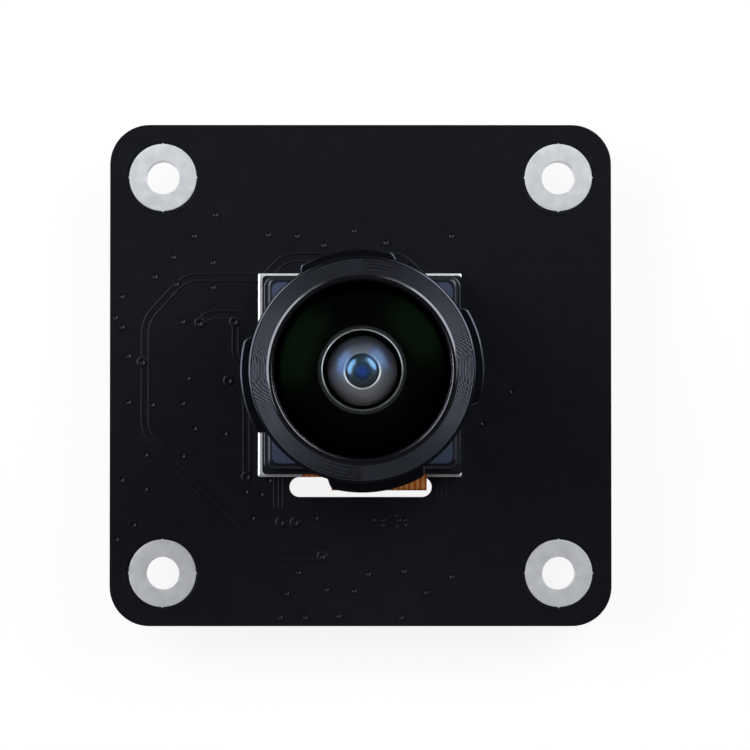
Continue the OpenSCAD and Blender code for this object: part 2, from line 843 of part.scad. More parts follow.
module connector_latch() {
    blade_w = cable_w - 2 * latch_gap;
    blade_l = cavity_depth - 0.7;
    blade_z = floor_t + cavity_h - latch_gap - blade_t;
    arm_x = housing_w / 2 + latch_gap;
    bar_w = 2 * (arm_x + arm_t);
    foot_w = (bar_w - cable_w) / 2 - 0.4;
    color("#33291f") at_connector() {
        translate([-blade_w / 2, -blade_l, blade_z]) cube([blade_w, blade_l + latch_gap, blade_t]);
        across_connector(bar_w) latch_bar_side_view(blade_z, housing_h - 0.15);
        for (side = [-1, 1]) mirror_x(side) {
            translate([bar_w / 2 - foot_w, latch_gap, 0.3]) cube([foot_w, latch_bar_l, blade_z]);
            translate([arm_x, -arm_l, 0.6]) cube([arm_t, arm_l + latch_gap + latch_bar_l, 1.1]);
        }
    }
}

// ---------- small parts on the rear face ----------

module at_spots(spots) {
    for (s = spots) on_rear(s) children();
}

module block(l, w, h) {
    translate([-l / 2, -w / 2, 0]) cube([l, w, h]);
}

// The two metal ends of a chip part
module end_caps(l, w, h, cap) {
    for (side = [-1, 1]) translate([side * (l - cap) / 2, 0, 0]) block(cap, w, h);
}

// Moulded body of a chip: all four sides lean in above and below the parting line
module moulded_body(l, w, h) {
    lean = 0.08;
    intersection() {
        rotate([90, 0, 0]) translate([0, 0, -w / 2]) linear_extrude(w) moulded_section(l, h, lean);
        rotate([90, 0, 90]) translate([0, 0, -l / 2]) linear_extrude(l) moulded_section(w, h, lean);
    }
}

module moulded_section(w, h, lean) {
    band = 0.1;                 // half height of the upright band that the leads leave from
    polygon([
        [-w / 2 + lean, 0], [w / 2 - lean, 0], [w / 2, h / 2 - band], [w / 2, h / 2 + band],
        [w / 2 - lean, h], [-w / 2 + lean, h], [-w / 2, h / 2 + band], [-w / 2, h / 2 - band],
    ]);
}

// Gull-wing lead, as distance from the chip's middle and height
module lead_side_view(body_w, mid_z) {
    t = 0.15;
    knee = body_w / 2 + 0.2;
    translate([body_w / 2, mid_z - t / 2]) square([0.2 + t, t]);
    translate([knee, 0]) square([t, mid_z + t / 2]);
    translate([knee, 0]) square([0.45, t]);
}

module gull_wing(x, side, w, body_w, mid_z) {
    mirror([0, side < 0 ? 1 : 0, 0]) translate([x - w / 2, 0, 0])
        rotate([90, 0, 90]) linear_extrude(w) lead_side_view(body_w, mid_z);
}

standoff = 0.1;                 // height of a moulded body over the board
regulator_pitch = 0.95;
shifter_pitch = 0.65;

module voltage_regulators() {
    color("#1c1c1f") at_spots(regulator_spots)
        translate([0, 0, standoff]) moulded_body(regulator_l, regulator_w, regulator_h);
}

module regulator_leads() {
    color("#c9ccd2") at_spots(regulator_spots)
    for (i = [[-1, 1], [0, 1], [1, 1], [-1, -1], [1, -1]])
        gull_wing(i[0] * regulator_pitch, i[1], 0.4, regulator_w, standoff + regulator_h / 2);
}

module level_shifters() {
    color("#1c1c1f") at_spots(shifter_spots)
        translate([0, 0, standoff]) moulded_body(shifter_l, shifter_w, shifter_h);
}

module shifter_leads() {
    color("#c9ccd2") at_spots(shifter_spots)
    for (i = [-1 : 1], side = [-1, 1])
        gull_wing(i * shifter_pitch, side, 0.22, shifter_w, standoff + shifter_h / 2);
}

module memory_chip() {
    color("#1c1c1f") at_spots([memory_spot]) block(memory_l, memory_w, memory_h);
}

module oscillator_base() {
    color("#3b3d42") at_spots([oscillator_spot]) block(oscillator_l, oscillator_w, oscillator_h);
}

module oscillator_lid() {
    color("#cfd2d6") at_spots([oscillator_spot]) translate([0, 0, oscillator_h])
        block(oscillator_l - 2 * lid_inset, oscillator_w - 2 * lid_inset, lid_t);
}

capacitor = [passive_l, passive_w, capacitor_h, passive_l / 4];
resistor = [passive_l, passive_w, resistor_h, passive_l / 5];
inductor = [inductor_l, inductor_w, inductor_h, inductor_l / 5];

// Each chip part is [length, width, height, length of one metal end]
module chip_bodies(spots, s) {
    at_spots(spots) block(s[0] - 2 * s[3], s[1], s[2]);
}

module chip_ends(spots, s) {
    at_spots(spots) end_caps(s[0], s[1], s[2], s[3]);
}

module capacitors() { color("#a07a54") chip_bodies(capacitor_spots, capacitor); }
module capacitor_ends() { color("#c9ccd2") chip_ends(capacitor_spots, capacitor); }
module resistors() { color("#1c1c1f") chip_bodies(resistor_spots, resistor); }
module resistor_ends() { color("#c9ccd2") chip_ends(resistor_spots, resistor); }
module inductors() { color("#4c4f55") chip_bodies(inductor_spots, inductor); }
module inductor_ends() { color("#c9ccd2") chip_ends(inductor_spots, inductor); }

circuit_board();
mounting_lands();
adhesive_tape();
stiffener_plate();
sensor_board();
image_sensor();
flexible_tail();
lens_holder();
infrared_filter();
lens_barrel();
locking_adhesive();
front_ring();
sealing_ring();
front_element();
front_spacer();
second_element();
middle_spacer();
third_element();
aperture_stop();
fourth_element();
fifth_element();
rear_spacer();
rear_element();
tail_plug();
plug_stiffener();
board_socket();
socket_contacts();
connector_housing();
connector_latch();
connector_contacts();
connector_tabs();
voltage_regulators();
regulator_leads();
level_shifters();
shifter_leads();
memory_chip();
oscillator_base();
oscillator_lid();
capacitors();
capacitor_ends();
resistors();
resistor_ends();
inductors();
inductor_ends();
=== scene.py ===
"""Looks of the fisheye camera module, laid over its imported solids.

Lengths are in millimetres until a mesh is made, unless a comment says metres.
"""

import math
import random

import bpy
from mathutils import Matrix, Vector


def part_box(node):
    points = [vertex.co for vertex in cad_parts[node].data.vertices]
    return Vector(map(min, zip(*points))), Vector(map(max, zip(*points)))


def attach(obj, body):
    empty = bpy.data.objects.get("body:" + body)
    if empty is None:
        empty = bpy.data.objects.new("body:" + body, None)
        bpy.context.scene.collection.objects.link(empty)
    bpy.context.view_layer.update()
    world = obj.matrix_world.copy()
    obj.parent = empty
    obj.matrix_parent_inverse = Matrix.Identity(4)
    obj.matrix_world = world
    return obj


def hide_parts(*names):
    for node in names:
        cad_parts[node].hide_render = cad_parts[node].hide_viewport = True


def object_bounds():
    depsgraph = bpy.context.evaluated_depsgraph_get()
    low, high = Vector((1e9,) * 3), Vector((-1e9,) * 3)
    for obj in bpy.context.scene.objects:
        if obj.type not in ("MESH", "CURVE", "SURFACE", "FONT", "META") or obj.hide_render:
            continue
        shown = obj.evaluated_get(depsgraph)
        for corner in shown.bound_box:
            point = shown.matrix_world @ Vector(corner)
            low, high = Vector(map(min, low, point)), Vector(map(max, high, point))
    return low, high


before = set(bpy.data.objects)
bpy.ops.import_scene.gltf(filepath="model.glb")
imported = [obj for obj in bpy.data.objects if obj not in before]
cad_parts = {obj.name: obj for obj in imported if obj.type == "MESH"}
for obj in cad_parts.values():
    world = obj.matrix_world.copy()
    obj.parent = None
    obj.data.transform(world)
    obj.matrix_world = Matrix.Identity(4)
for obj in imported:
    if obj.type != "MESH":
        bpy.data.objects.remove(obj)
cad_low, cad_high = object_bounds()

MM = 0.001
BOARD = "camera_board"
CORNERS = [(-1, -1), (-1, 1), (1, -1), (1, 1)]
TAIL_PITCH = 0.42
random.seed(7)


# ---------------------------------------------------------------- frame measures

def box(node):
    """Lowest and highest corner of a CAD node, in millimetres."""
    low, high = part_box(node)
    return low / MM, high / MM


def radius(node):
    """Half the width of a round or square CAD node, in millimetres."""
    low, high = box(node)
    return (high.x - low.x) / 2


board_low, board_high = box("circuit_board")
FRONT_Z = board_high.z
REAR_Z = board_low.z
holder_low, holder_high = box("lens_holder")
AXIS_X = (holder_low.x + holder_high.x) / 2


def islands(node):
    """Boxes of the separate solids in one CAD node, as (low, high) in millimetres."""
    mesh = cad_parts[node].data
    parent = list(range(len(mesh.vertices)))

    def root(i):
        while parent[i] != i:
            parent[i] = parent[parent[i]]
            i = parent[i]
        return i

    place = {}
    for v in mesh.vertices:
        key = tuple(round(c / MM, 4) for c in v.co)
        if key in place:
            parent[root(v.index)] = root(place[key])
        else:
            place[key] = v.index
    for e in mesh.edges:
        a, b = (root(i) for i in e.vertices)
        parent[a] = b
    groups = {}
    for v in mesh.vertices:
        groups.setdefault(root(v.index), []).append(v.co / MM)
    boxes = [(Vector([*map(min, zip(*points))]), Vector([*map(max, zip(*points))]))
             for points in groups.values()]
    return sorted(boxes, key=lambda b: tuple(round(c, 3) for c in b[0]))


# ---------------------------------------------------------------- mesh helpers

def new_object(name, data):
    obj = bpy.data.objects.new(name, data)
    bpy.context.scene.collection.objects.link(obj)
    return obj


class Shape:
    """Vertices, faces and each face's material number, in millimetres."""

    def __init__(self):
        self.verts, self.faces, self.mats = [], [], []

    def add(self, verts, faces):
        start = len(self.verts)
        self.verts += [tuple(v) for v in verts]
        self.faces += [[start + i for i in f] for f in faces]
        self.mats += [0] * len(faces)

    def join(self, a, b, mat=0, flip=False):
        """Faces between two closed rings of vertex numbers; a ring may be a single point."""
        n = max(len(a), len(b))
        for k in range(n if n > 1 else 0):
            m = (k + 1) % n
            corners = (a[k % len(a)], a[m % len(a)], b[m % len(b)], b[k % len(b)])
            face = list(dict.fromkeys(corners))
            self.faces.append(face[::-1] if flip else face)
            self.mats.append(mat)

    def make(self, name, materials, slot, body=BOARD, smooth=35.0):
        mesh = bpy.data.meshes.new(name)
        mesh.from_pydata([[c * MM for c in v] for v in self.verts], [], self.faces)
        mesh.validate()
        for m in materials:
            mesh.materials.append(m)
        if len(mesh.polygons) == len(self.mats):
            mesh.polygons.foreach_set("material_index", self.mats)
        mesh.polygons.foreach_set("use_smooth", [True] * len(mesh.polygons))
        mesh.set_sharp_from_angle(angle=math.radians(smooth))
        mesh.update()
        obj = new_object(name, mesh)
        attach(obj, body)
        return obj


def mat_of(point):
    """Material number of a profile's point or of a ring: its third value, if it has one."""
    return point[2] if len(point) > 2 else 0


def lathe(shape, profile, segments=160, closed=True, centre=None, twist=None):
    """Revolves (r, z[, material]) points about the lens axis, or about centre.

    A point's material is that of the band up to the next point; twist adds to a point's radius.
    """
    cx, cy = (AXIS_X, 0.0) if centre is None else centre
    rings = []
    for i, (r, z, *_) in enumerate(profile):
        start = len(shape.verts)
        if r < 1e-6:
            rings.append([start])
            shape.verts.append((cx, cy, z))
            continue
        rings.append(range(start, start + segments))
        for k in range(segments):
            a = 2 * math.pi * k / segments
            rr = r + (twist(i, a) if twist else 0.0)
            shape.verts.append((cx + rr * math.cos(a), cy + rr * math.sin(a), z))
    loop = [*zip(profile, profile[1:]), (profile[-1], profile[0])]
    area = sum(a[0] * b[1] - b[0] * a[1] for a, b in loop)
    for i in range(len(rings) if closed else len(rings) - 1):
        shape.join(rings[i], rings[(i + 1) % len(rings)], mat_of(profile[i]), flip=area <= 0)
    return shape


def polar(r, degrees):
    a = math.radians(degrees)
    return r * math.cos(a), r * math.sin(a)


def arc(cr, cz, r, start, end, count, mat=0):
    """Points on a circle in the (r, z) plane; angles in degrees."""
    steps = (polar(r, start + (end - start) * i / count) for i in range(count + 1))
    return [(cr + x, cz + z, mat) for x, z in steps]


def crowned(width, start=13, end=38):
    """A softened edge as (inset from the side, drop below the top), from the top's side outwards."""
    steps, a0, a1 = 5, math.radians(start), math.radians(end)
    r = width / (math.sin(a1) - math.sin(a0))
    angles = [a0 + (a1 - a0) * i / steps for i in range(steps + 1)]
    return [(r * (math.sin(a1) - math.sin(a)), r * (math.cos(a0) - math.cos(a))) for a in angles]


def dome(sphere_r, top_z, r0, r1, count, mat=0):
    """Points on a sphere whose top is at top_z, from radius r0 to radius r1."""
    centre = top_z - sphere_r
    return [
        (r, centre + math.sqrt(max(sphere_r ** 2 - r ** 2, 0.0)), mat)
        for r in (r0 + (r1 - r0) * i / count for i in range(count + 1))
    ]


def painted_dome(sphere_r, top_z, rim_r, count):
    """A dome from its top out to rim_r, where the second material starts."""
    points = dome(sphere_r, top_z, 0.0, rim_r, count)
    return [*points[:-1], (*points[-1][:2], 1)]


def rounded_block(half_w, half_h, corner, steps=10):
    """Outline of a rectangle with round corners; a circle when corner equals both halves."""
    points = []
    for quarter in range(4):
        sx = 1 if quarter in (0, 3) else -1
        sy = 1 if quarter in (0, 1) else -1
        for i in range(steps + 1):
            share = i / steps if corner < min(half_w, half_h) else (i + 0.5) / (steps + 1)
            x, y = polar(corner, 90 * (quarter + share))
            points.append((sx * (half_w - corner) + x, sy * (half_h - corner) + y))
    return points


def skin(shape, rings, closed=True, centre=(0.0, 0.0)):
    """Joins (outline, height[, material]) rings of equal point count; capped at both ends if not closed."""
    rows = []
    for ring in rings:
        rows.append(range(len(shape.verts), len(shape.verts) + len(ring[0])))
        shape.verts += [(centre[0] + x, centre[1] + y, ring[1]) for x, y in ring[0]]
    for i in range(len(rows) if closed else len(rows) - 1):
        shape.join(rows[i], rows[(i + 1) % len(rows)], mat_of(rings[i]))
    if not closed:
        shape.faces += [list(reversed(rows[0])), list(rows[-1])]
        shape.mats += [0, 0]
    return shape


def round_corners(points, r, steps=6):
    """Replaces each inner corner of a polyline with a curve that starts where an arc of radius r would."""
    out = [Vector(points[0])]
    for a, b, c in zip(points, points[1:], points[2:]):
        a, b, c = Vector(a), Vector(b), Vector(c)
        u, v = (a - b).normalized(), (c - b).normalized()
        angle = u.angle(v)
        if angle > math.radians(178):
            out.append(b)
            continue
        cut = min(r / math.tan(angle / 2), (a - b).length * 0.48, (c - b).length * 0.48)
        for i in range(steps + 1):
            t = i / steps
            out.append(b + u * cut * (1 - t) ** 2 + v * cut * t ** 2)
    out.append(Vector(points[-1]))
    return out


def track(shape, points, width, height, z, up=1, corner=0.8, shift=0.0):
    """A raised edge under the mask: a ribbon with sloping sides, shift to the left of its path."""
    path = round_corners([Vector(p) for p in points], corner, 14) if corner else [Vector(p) for p in points]
    half = width / 2
    slope = [(1.0, 0.0), (0.6, 0.3), (0.25, 0.9)]
    section = [(-half * u, height * h) for u, h in slope]
    section += [(0.0, height), *[(half * u, height * h) for u, h in reversed(slope)]]
    start = len(shape.verts)
    for i, p in enumerate(path):
        before = path[max(i - 1, 0)]
        after = path[min(i + 1, len(path) - 1)]
        along = (after - before).normalized()
        side = Vector((-along.y, along.x))
        stretch = 1.0
        if 0 < i < len(path) - 1:
            turn = (p - before).normalized().angle((after - p).normalized())
            stretch = 1 / max(math.cos(turn / 2), 0.5)
        for offset, h in section:
            q = p + side * (offset + shift) * stretch
            shape.verts.append((q.x, q.y, z + up * h))
    n = len(section)
    for i in range(len(path) - 1):
        for k in range(n - 1):
            a, b = start + i * n + k, start + (i + 1) * n + k
            shape.faces.append([a, b, b + 1, a + 1] if up > 0 else [a, a + 1, b + 1, b])
    for end in (0, len(path) - 1):
        a = start + end * n
        face = [a + k for k in range(n)]
        shape.faces.append(face if (end == 0) == (up > 0) else face[::-1])
    shape.mats += [0] * (len(shape.faces) - len(shape.mats))


def conductor(shape, points, gap, z, corner):
    """A conductor of the front: the mask stands up along both of its edges, gap apart."""
    ridge, height = 0.24, 0.026
    for side in (-1, 1):
        track(shape, points, ridge, height, z, corner=corner, shift=side * gap / 2)


def via(shape, x, y, z, up=1, segments=18, ringed=False, size=1.0):
    """A filled hole under the mask: a dished dimple, set in a sloping land if ringed."""
    steps = [(0.0, 0.0), (0.04, 0.002), (0.10, 0.019), (0.16, 0.041), (0.21, 0.062)]
    if ringed:
        steps += [(0.30, 0.060), (0.36, 0.048), (0.43, 0.024), (0.43, 0.0)]
    else:
        steps += [(0.23, 0.060), (0.23, 0.0)]
    profile = [(size * r, z + up * size * h) for r, h in steps]
    lathe(shape, profile[::up], segments, closed=False, centre=(x, y))


# ---------------------------------------------------------------- materials

class Nodes:
    """A short way to write a node tree; each helper returns an output socket, and add returns the node."""

    def __init__(self, tree):
        self.tree = tree

    def add(self, kind, **values):
        node = self.tree.nodes.new(kind)
        inputs = values.pop("inputs", {})
        for key, value in values.items():
            setattr(node, key, value)
        for key, value in inputs.items():
            if isinstance(value, bpy.types.NodeSocket):
                self.tree.links.new(value, node.inputs[key])
            else:
                node.inputs[key].default_value = value
        return node

    def place(self):
        return self.add("ShaderNodeTexCoord").outputs["Object"]

    def noise(self, place, grain, detail=2.0, rough=0.5):
        return self.add("ShaderNodeTexNoise", inputs={
            "Vector": place, "Scale": 1 / (grain * MM), "Detail": detail, "Roughness": rough}).outputs["Fac"]

    def math(self, operation, *terms):
        return self.add("ShaderNodeMath", operation=operation, inputs=dict(enumerate(terms))).outputs[0]

    def part(self, axis, vector):
        return self.add("ShaderNodeSeparateXYZ", inputs={0: vector}).outputs[axis]

    def ramp(self, value, low, high, to_low=0.0, to_high=1.0, kind="LINEAR"):
        return self.add("ShaderNodeMapRange", interpolation_type=kind, inputs={
            "Value": value, "From Min": low, "From Max": high, "To Min": to_low, "To Max": to_high,
        }).outputs["Result"]

    def mix(self, factor, a, b):
        a, b = (c if isinstance(c, bpy.types.NodeSocket) else rgba(c) for c in (a, b))
        return self.add("ShaderNodeMix", data_type="RGBA", inputs={
            "Factor": factor, "A": a, "B": b}).outputs["Result"]

    def relief(self, height, depth, strength=1.0, **more):
        return self.add("ShaderNodeBump", inputs={
            "Height": height, "Strength": strength, "Distance": depth * MM, **more}).outputs["Normal"]

    def finish(self, shader):
        self.add("ShaderNodeOutputMaterial", inputs={"Surface": shader.outputs[0]})


def clear_nodes(owner):
    """An empty node tree for a material or a world."""
    owner.use_nodes = True
    owner.node_tree.nodes.clear()
    return Nodes(owner.node_tree)


def new_material(name):
    material = bpy.data.materials.new(name)
    return material, clear_nodes(material)


def rgba(color):
    return (*color, 1.0)


def surface(name, color, rough=0.45, metallic=0.0, spec=0.5, spread=0.18, grain=0.25, rough_spread=0.1,
            bump=0.3, bump_height=0.002, fine=0.0, sockets=None, marks=None):
    """A procedural finish: colour, roughness and relief all follow noise of grain size, in millimetres."""
    material, nodes = new_material(name)
    place = nodes.place()
    noise = nodes.noise(place, grain, 5.0, 0.6)
    dark = [c * (1 - spread) for c in color]
    light = [min(c * (1 + spread), 1.0) for c in color]
    gloss = nodes.ramp(noise, 0.3, 0.7, max(rough - rough_spread, 0.03), min(rough + rough_spread, 1.0))
    height = nodes.math("ADD", noise, nodes.noise(place, fine)) if fine else noise
    normal = nodes.relief(height, bump_height, bump)
    if marks:
        normal = marks(nodes, normal)
    nodes.finish(nodes.add("ShaderNodeBsdfPrincipled", inputs={
        "Base Color": nodes.mix(noise, dark, light), "Roughness": gloss, "Normal": normal,
        "Metallic": metallic, "Specular IOR Level": spec, **(sockets or {})}))
    return material


def from_axis(nodes):
    """Where a point lies beside the lens axis, and how far from it; both in metres."""
    shift = nodes.add("ShaderNodeVectorMath", operation="SUBTRACT", inputs={
        0: nodes.place(), 1: (AXIS_X * MM, 0, 0)}).outputs[0]
    flat = nodes.add("ShaderNodeVectorMath", operation="MULTIPLY", inputs={0: shift, 1: (1, 1, 0)}).outputs[0]
    reach = nodes.add("ShaderNodeVectorMath", operation="LENGTH", inputs={0: flat})
    return flat, reach.outputs["Value"]


def sampled_comb(nodes, normal):
    """Imitates the comb that a picture's pixels make of very fine grooves; the real ring has no such marks.

    The pixel is that of the reference view on the ring's face; the ratio is grooves to a pixel.
    """
    pixel, ratio, depth = 0.0722, 1.23, 0.0040
    flat, reach = from_axis(nodes)
    sideways = nodes.math("ABSOLUTE", nodes.part("X", flat))
    cross = nodes.math("SUBTRACT", nodes.math("MULTIPLY", reach, ratio), sideways)
    wave = nodes.math("COSINE", nodes.math("MULTIPLY", cross, 2 * math.pi / (pixel * MM)))
    return nodes.relief(wave, depth, Normal=normal)


def coated_glass(name, color, ior, glow, blur=0.24):
    """Optical glass under a coating: glow still reflects head-on, and glancing light reflects more."""
    grain, mottle, edge, mirror_rough = 4.0, 0.985, 0.4, 0.02
    material, nodes = new_material(name)
    noise = nodes.noise(nodes.place(), grain)
    through = nodes.add("ShaderNodeBsdfRefraction", inputs={
        "Color": nodes.mix(noise, [c * mottle for c in color], color), "Roughness": 0.0, "IOR": ior})
    coating = nodes.add("ShaderNodeBsdfAnisotropic", inputs={"Color": rgba(glow), "Roughness": blur})
    body = nodes.add("ShaderNodeAddShader", inputs={0: through.outputs[0], 1: coating.outputs[0]})
    fresnel = nodes.add("ShaderNodeFresnel", inputs={"IOR": ior})
    bare = ((ior - 1) / (ior + 1)) ** 2
    share = nodes.math("POWER", nodes.ramp(fresnel.outputs[0], bare * 1.12, 1.0), 1 + edge)
    mirror = nodes.add("ShaderNodeBsdfAnisotropic", inputs={"Color": (1, 1, 1, 1), "Roughness": mirror_rough})
    nodes.finish(nodes.add("ShaderNodeMixShader", inputs={
        0: share, 1: body.outputs[0], 2: mirror.outputs[0]}))
    return material


BLUISH = {"Specular Tint": (0.84, 0.88, 1.0, 1.0)}
MASK_COLOR = (0.0034, 0.0039, 0.0066)
MASK = surface(
    "solder_mask", MASK_COLOR, rough=0.40, spec=0.44, spread=0.12, grain=1.1, rough_spread=0.02, bump=0.06,
    bump_height=0.004, fine=0.06, sockets=BLUISH)
MASK_RELIEF = surface(
    "mask_over_copper", MASK_COLOR, rough=0.36, spec=0.52, spread=0.12, grain=1.1, rough_spread=0.02,
    bump=0.05, bump_height=0.003, sockets=BLUISH)
TIN = surface(
    "tinned_copper", (0.83, 0.84, 0.89), rough=0.45, metallic=0.16, spread=0.17, grain=0.8,
    rough_spread=0.16, bump=0.5, bump_height=0.022, fine=0.11)
STEEL = surface(
    "stainless_steel", (0.93, 0.95, 0.97), rough=0.36, metallic=0.55, spread=0.04, grain=0.3,
    rough_spread=0.05, bump=0.1)
LAMINATE = surface("laminate", (0.008, 0.010, 0.013), rough=0.3, spread=0.2, grain=0.4, bump=0.1)
TAPE = surface("tape", (0.05, 0.05, 0.05), rough=0.7, grain=0.2)
SILICON = surface("silicon", (0.05, 0.08, 0.10), rough=0.15, grain=0.05, sockets={"Coat Weight": 0.6})
HOLDER = surface(
    "black_plastic", (0.007, 0.009, 0.015), rough=0.50, spec=0.22, spread=0.15, grain=0.18,
    rough_spread=0.06, bump=0.25, bump_height=0.004, fine=0.05, sockets=BLUISH)
HOLDER_EDGE = surface(
    "rubbed_edge", (0.010, 0.012, 0.018), rough=0.24, spec=0.5, spread=0.15, grain=0.18, rough_spread=0.05,
    bump=0.1, bump_height=0.002, sockets=BLUISH)
# The holder's flat top: a lighter bluish colour on black plastic, a painted reflection of the sky overhead.
HOLDER_PAINTED_REFLECTION = surface(
    "plastic_painted_sky_reflection", (0.064, 0.084, 0.140), rough=0.34, spec=0.5, spread=0.22, grain=0.12,
    rough_spread=0.08, bump=0.3, bump_height=0.004, fine=0.04, sockets=BLUISH)
ANODISING = dict(
    color=(0.0020, 0.0023, 0.0042), rough=0.17, spec=0.62, spread=0.15, grain=0.12, rough_spread=0.03,
    bump=0.04, bump_height=0.0015, sockets={"Specular Tint": (0.74, 0.80, 1.0, 1.0)})
ANODISED = surface("black_anodised", **ANODISING)
COMBED_FACE = surface("combed_face", **ANODISING, marks=sampled_comb)
BURNISHED = surface(
    "burnished_edge", (0.0030, 0.0034, 0.0050), rough=0.10, spec=1.0, spread=0.1, grain=0.12,
    rough_spread=0.02, sockets={"Specular Tint": (0.90, 0.92, 1.0, 1.0)})
RUBBER = surface("seal_rubber", (0.012, 0.012, 0.013), rough=0.55, grain=0.1)
BLACKENED = surface("blackened_metal", (0.004, 0.004, 0.005), rough=0.55, spec=0.25, grain=0.1)
STOP_METAL = surface("stop_metal", (0.27, 0.20, 0.13), rough=0.5, spec=0.3, grain=0.1)
BLACK_PAINT = surface("black_paint", (0.0012, 0.0012, 0.0014), rough=0.7, spec=0.05, grain=0.2)
EDGE_PAINT = surface("thin_paint", (0.030, 0.032, 0.034), rough=0.6, spec=0.2, grain=0.2)
GROUND = surface(
    "ground_glass", (0.93, 0.88, 0.90), rough=0.6, spec=0.3, spread=0.05, grain=0.08, bump=0.3,
    bump_height=0.003)
GROUND_EDGE = surface("ground_edge", (0.72, 0.76, 0.78), rough=0.36, metallic=1.0, spread=0.04, grain=0.08)
GROUND_RIM = surface("bright_bevel", (0.97, 0.98, 0.99), rough=0.46, metallic=1.0, spread=0.02, grain=0.08)
GLUE = surface(
    "adhesive", (0.62, 0.58, 0.47), rough=0.25, spread=0.08, grain=0.3, bump=0.4, bump_height=0.01,
    sockets={"Subsurface Weight": 0.2, "Subsurface Scale": 0.0004})
GOLD = surface(
    "gilt_contact", (0.83, 0.60, 0.27), rough=0.28, metallic=1.0, spread=0.06, grain=0.15, bump=0.1)
CREAM = surface(
    "cream_plastic", (0.74, 0.69, 0.57), rough=0.42, spread=0.04, grain=0.25, bump=0.2, bump_height=0.003,
    fine=0.05, sockets={"Subsurface Weight": 0.1, "Subsurface Scale": 0.0003})
BROWN = surface(
    "brown_plastic", (0.030, 0.021, 0.015), rough=0.42, spread=0.12, grain=0.2, bump=0.25,
    bump_height=0.003, fine=0.05)
RESIN = surface(
    "chip_resin", (0.015, 0.015, 0.017), rough=0.62, spread=0.15, grain=0.12, bump=0.4, bump_height=0.004,
    fine=0.04)
RESIN_GLOSS = surface("moulded_dot", (0.013, 0.013, 0.015), rough=0.3, spread=0.1, grain=0.12)
SOLDER = surface(
    "solder", (0.80, 0.82, 0.86), rough=0.22, metallic=1.0, spread=0.06, grain=0.15, rough_spread=0.08,
    bump=0.3, bump_height=0.006)
CERAMIC = surface("ceramic_body", (0.34, 0.20, 0.11), rough=0.5, spread=0.12, grain=0.1, bump=0.2)
RESISTOR = surface("resistor_body", (0.010, 0.010, 0.012), rough=0.22, spread=0.1, grain=0.1)
FERRITE = surface("ferrite", (0.05, 0.053, 0.058), rough=0.6, spread=0.15, grain=0.08, bump=0.4)
FRONT_GLASS = coated_glass("front_glass", (0.985, 1.0, 0.99), 1.77, (0.0005, 0.0013, 0.0005))
HOLLOW_GLASS = coated_glass("hollow_glass", (0.985, 1.0, 0.99), 1.77, (0.015, 0.036, 0.085), blur=0.17)
INNER_GLASS = coated_glass("inner_glass", (0.98, 0.97, 0.99), 1.62, (0.002, 0.004, 0.006))
SECOND_HOLLOW = coated_glass("second_hollow", (0.98, 0.97, 0.99), 1.62, (0.100, 0.200, 0.320), blur=0.20)
FILTER = coated_glass("filter_glass", (0.72, 0.92, 0.9), 1.52, (0.03, 0.01, 0.008))


def painted_blue_reflection():
    """The coated glass behind the stop, made opaque: its blue, brightest in the middle and darker outwards,
    is a painted reflection.
    """
    middle, outside, inner_r, outer_r = (0.02, 0.10, 0.95), (0.006, 0.03, 0.16), 0.15, 0.85
    material, nodes = new_material("glass_painted_blue_reflection")
    reflection_fade = nodes.ramp(from_axis(nodes)[1], inner_r * MM, outer_r * MM, kind="SMOOTHSTEP")
    nodes.finish(nodes.add("ShaderNodeBsdfPrincipled", inputs={
        "Base Color": nodes.mix(reflection_fade, middle, outside), "Roughness": 0.05,
        "Specular IOR Level": 0.9, "Specular Tint": (0.55, 0.80, 1.0, 1.0)}))
    return material


# Opaque blue glass whose bright middle is a painted reflection of the coatings and sensor.
PAINTED_BLUE_REFLECTION = painted_blue_reflection()


def polyimide():
    """Amber film over copper: the conductors show as lighter bands along the tail."""
    copper_dark, copper_light = (1.0, 0.28, 0.040), (1.0, 0.58, 0.16)
    film_dark, film_light = (0.66, 0.10, 0.010), (0.94, 0.22, 0.030)
    material, nodes = new_material("polyimide")
    place = nodes.place()
    turn = nodes.math("MULTIPLY", nodes.part("X", place), 2 * math.pi / (TAIL_PITCH * MM))
    bands = nodes.ramp(nodes.math("SINE", turn), -0.35, 0.15)
    noise = nodes.noise(place, 0.22, 4.0)
    copper = nodes.mix(noise, copper_dark, copper_light)
    film = nodes.mix(noise, film_dark, film_light)
    nodes.finish(nodes.add("ShaderNodeBsdfPrincipled", inputs={
        "Base Color": nodes.mix(bands, film, copper), "Normal": nodes.relief(bands, 0.01, 0.5),
        "Roughness": 0.26, "Coat Weight": 0.3}))
    return material


POLYIMIDE = polyimide()

# Finish of each CAD node, then the nodes that get a bevel, by its width
NODE_FINISH = {
    "circuit_board": MASK, "adhesive_tape": TAPE, "stiffener_plate": STEEL, "sensor_board": LAMINATE,
    "image_sensor": SILICON, "flexible_tail": POLYIMIDE, "lens_holder": HOLDER, "infrared_filter": FILTER,
    "lens_barrel": ANODISED, "locking_adhesive": GLUE, "front_ring": ANODISED, "sealing_ring": RUBBER,
    "front_element": FRONT_GLASS, "front_spacer": BLACKENED, "second_element": INNER_GLASS,
    "middle_spacer": BLACKENED, "third_element": INNER_GLASS, "aperture_stop": STOP_METAL,
    "fourth_element": PAINTED_BLUE_REFLECTION, "fifth_element": INNER_GLASS, "rear_spacer": BLACKENED,
    "rear_element": INNER_GLASS, "tail_plug": RESIN, "plug_stiffener": STEEL, "board_socket": CREAM,
    "socket_contacts": GOLD, "connector_housing": CREAM, "connector_latch": BROWN,
    "connector_contacts": GOLD, "connector_tabs": TIN, "voltage_regulators": RESIN,
    "regulator_leads": TIN, "level_shifters": RESIN, "shifter_leads": TIN, "memory_chip": RESIN,
    "oscillator_base": FERRITE, "oscillator_lid": STEEL, "capacitors": CERAMIC, "capacitor_ends": TIN,
    "resistors": RESISTOR, "resistor_ends": TIN, "inductors": FERRITE, "inductor_ends": TIN,
    "mounting_lands": TIN,
}
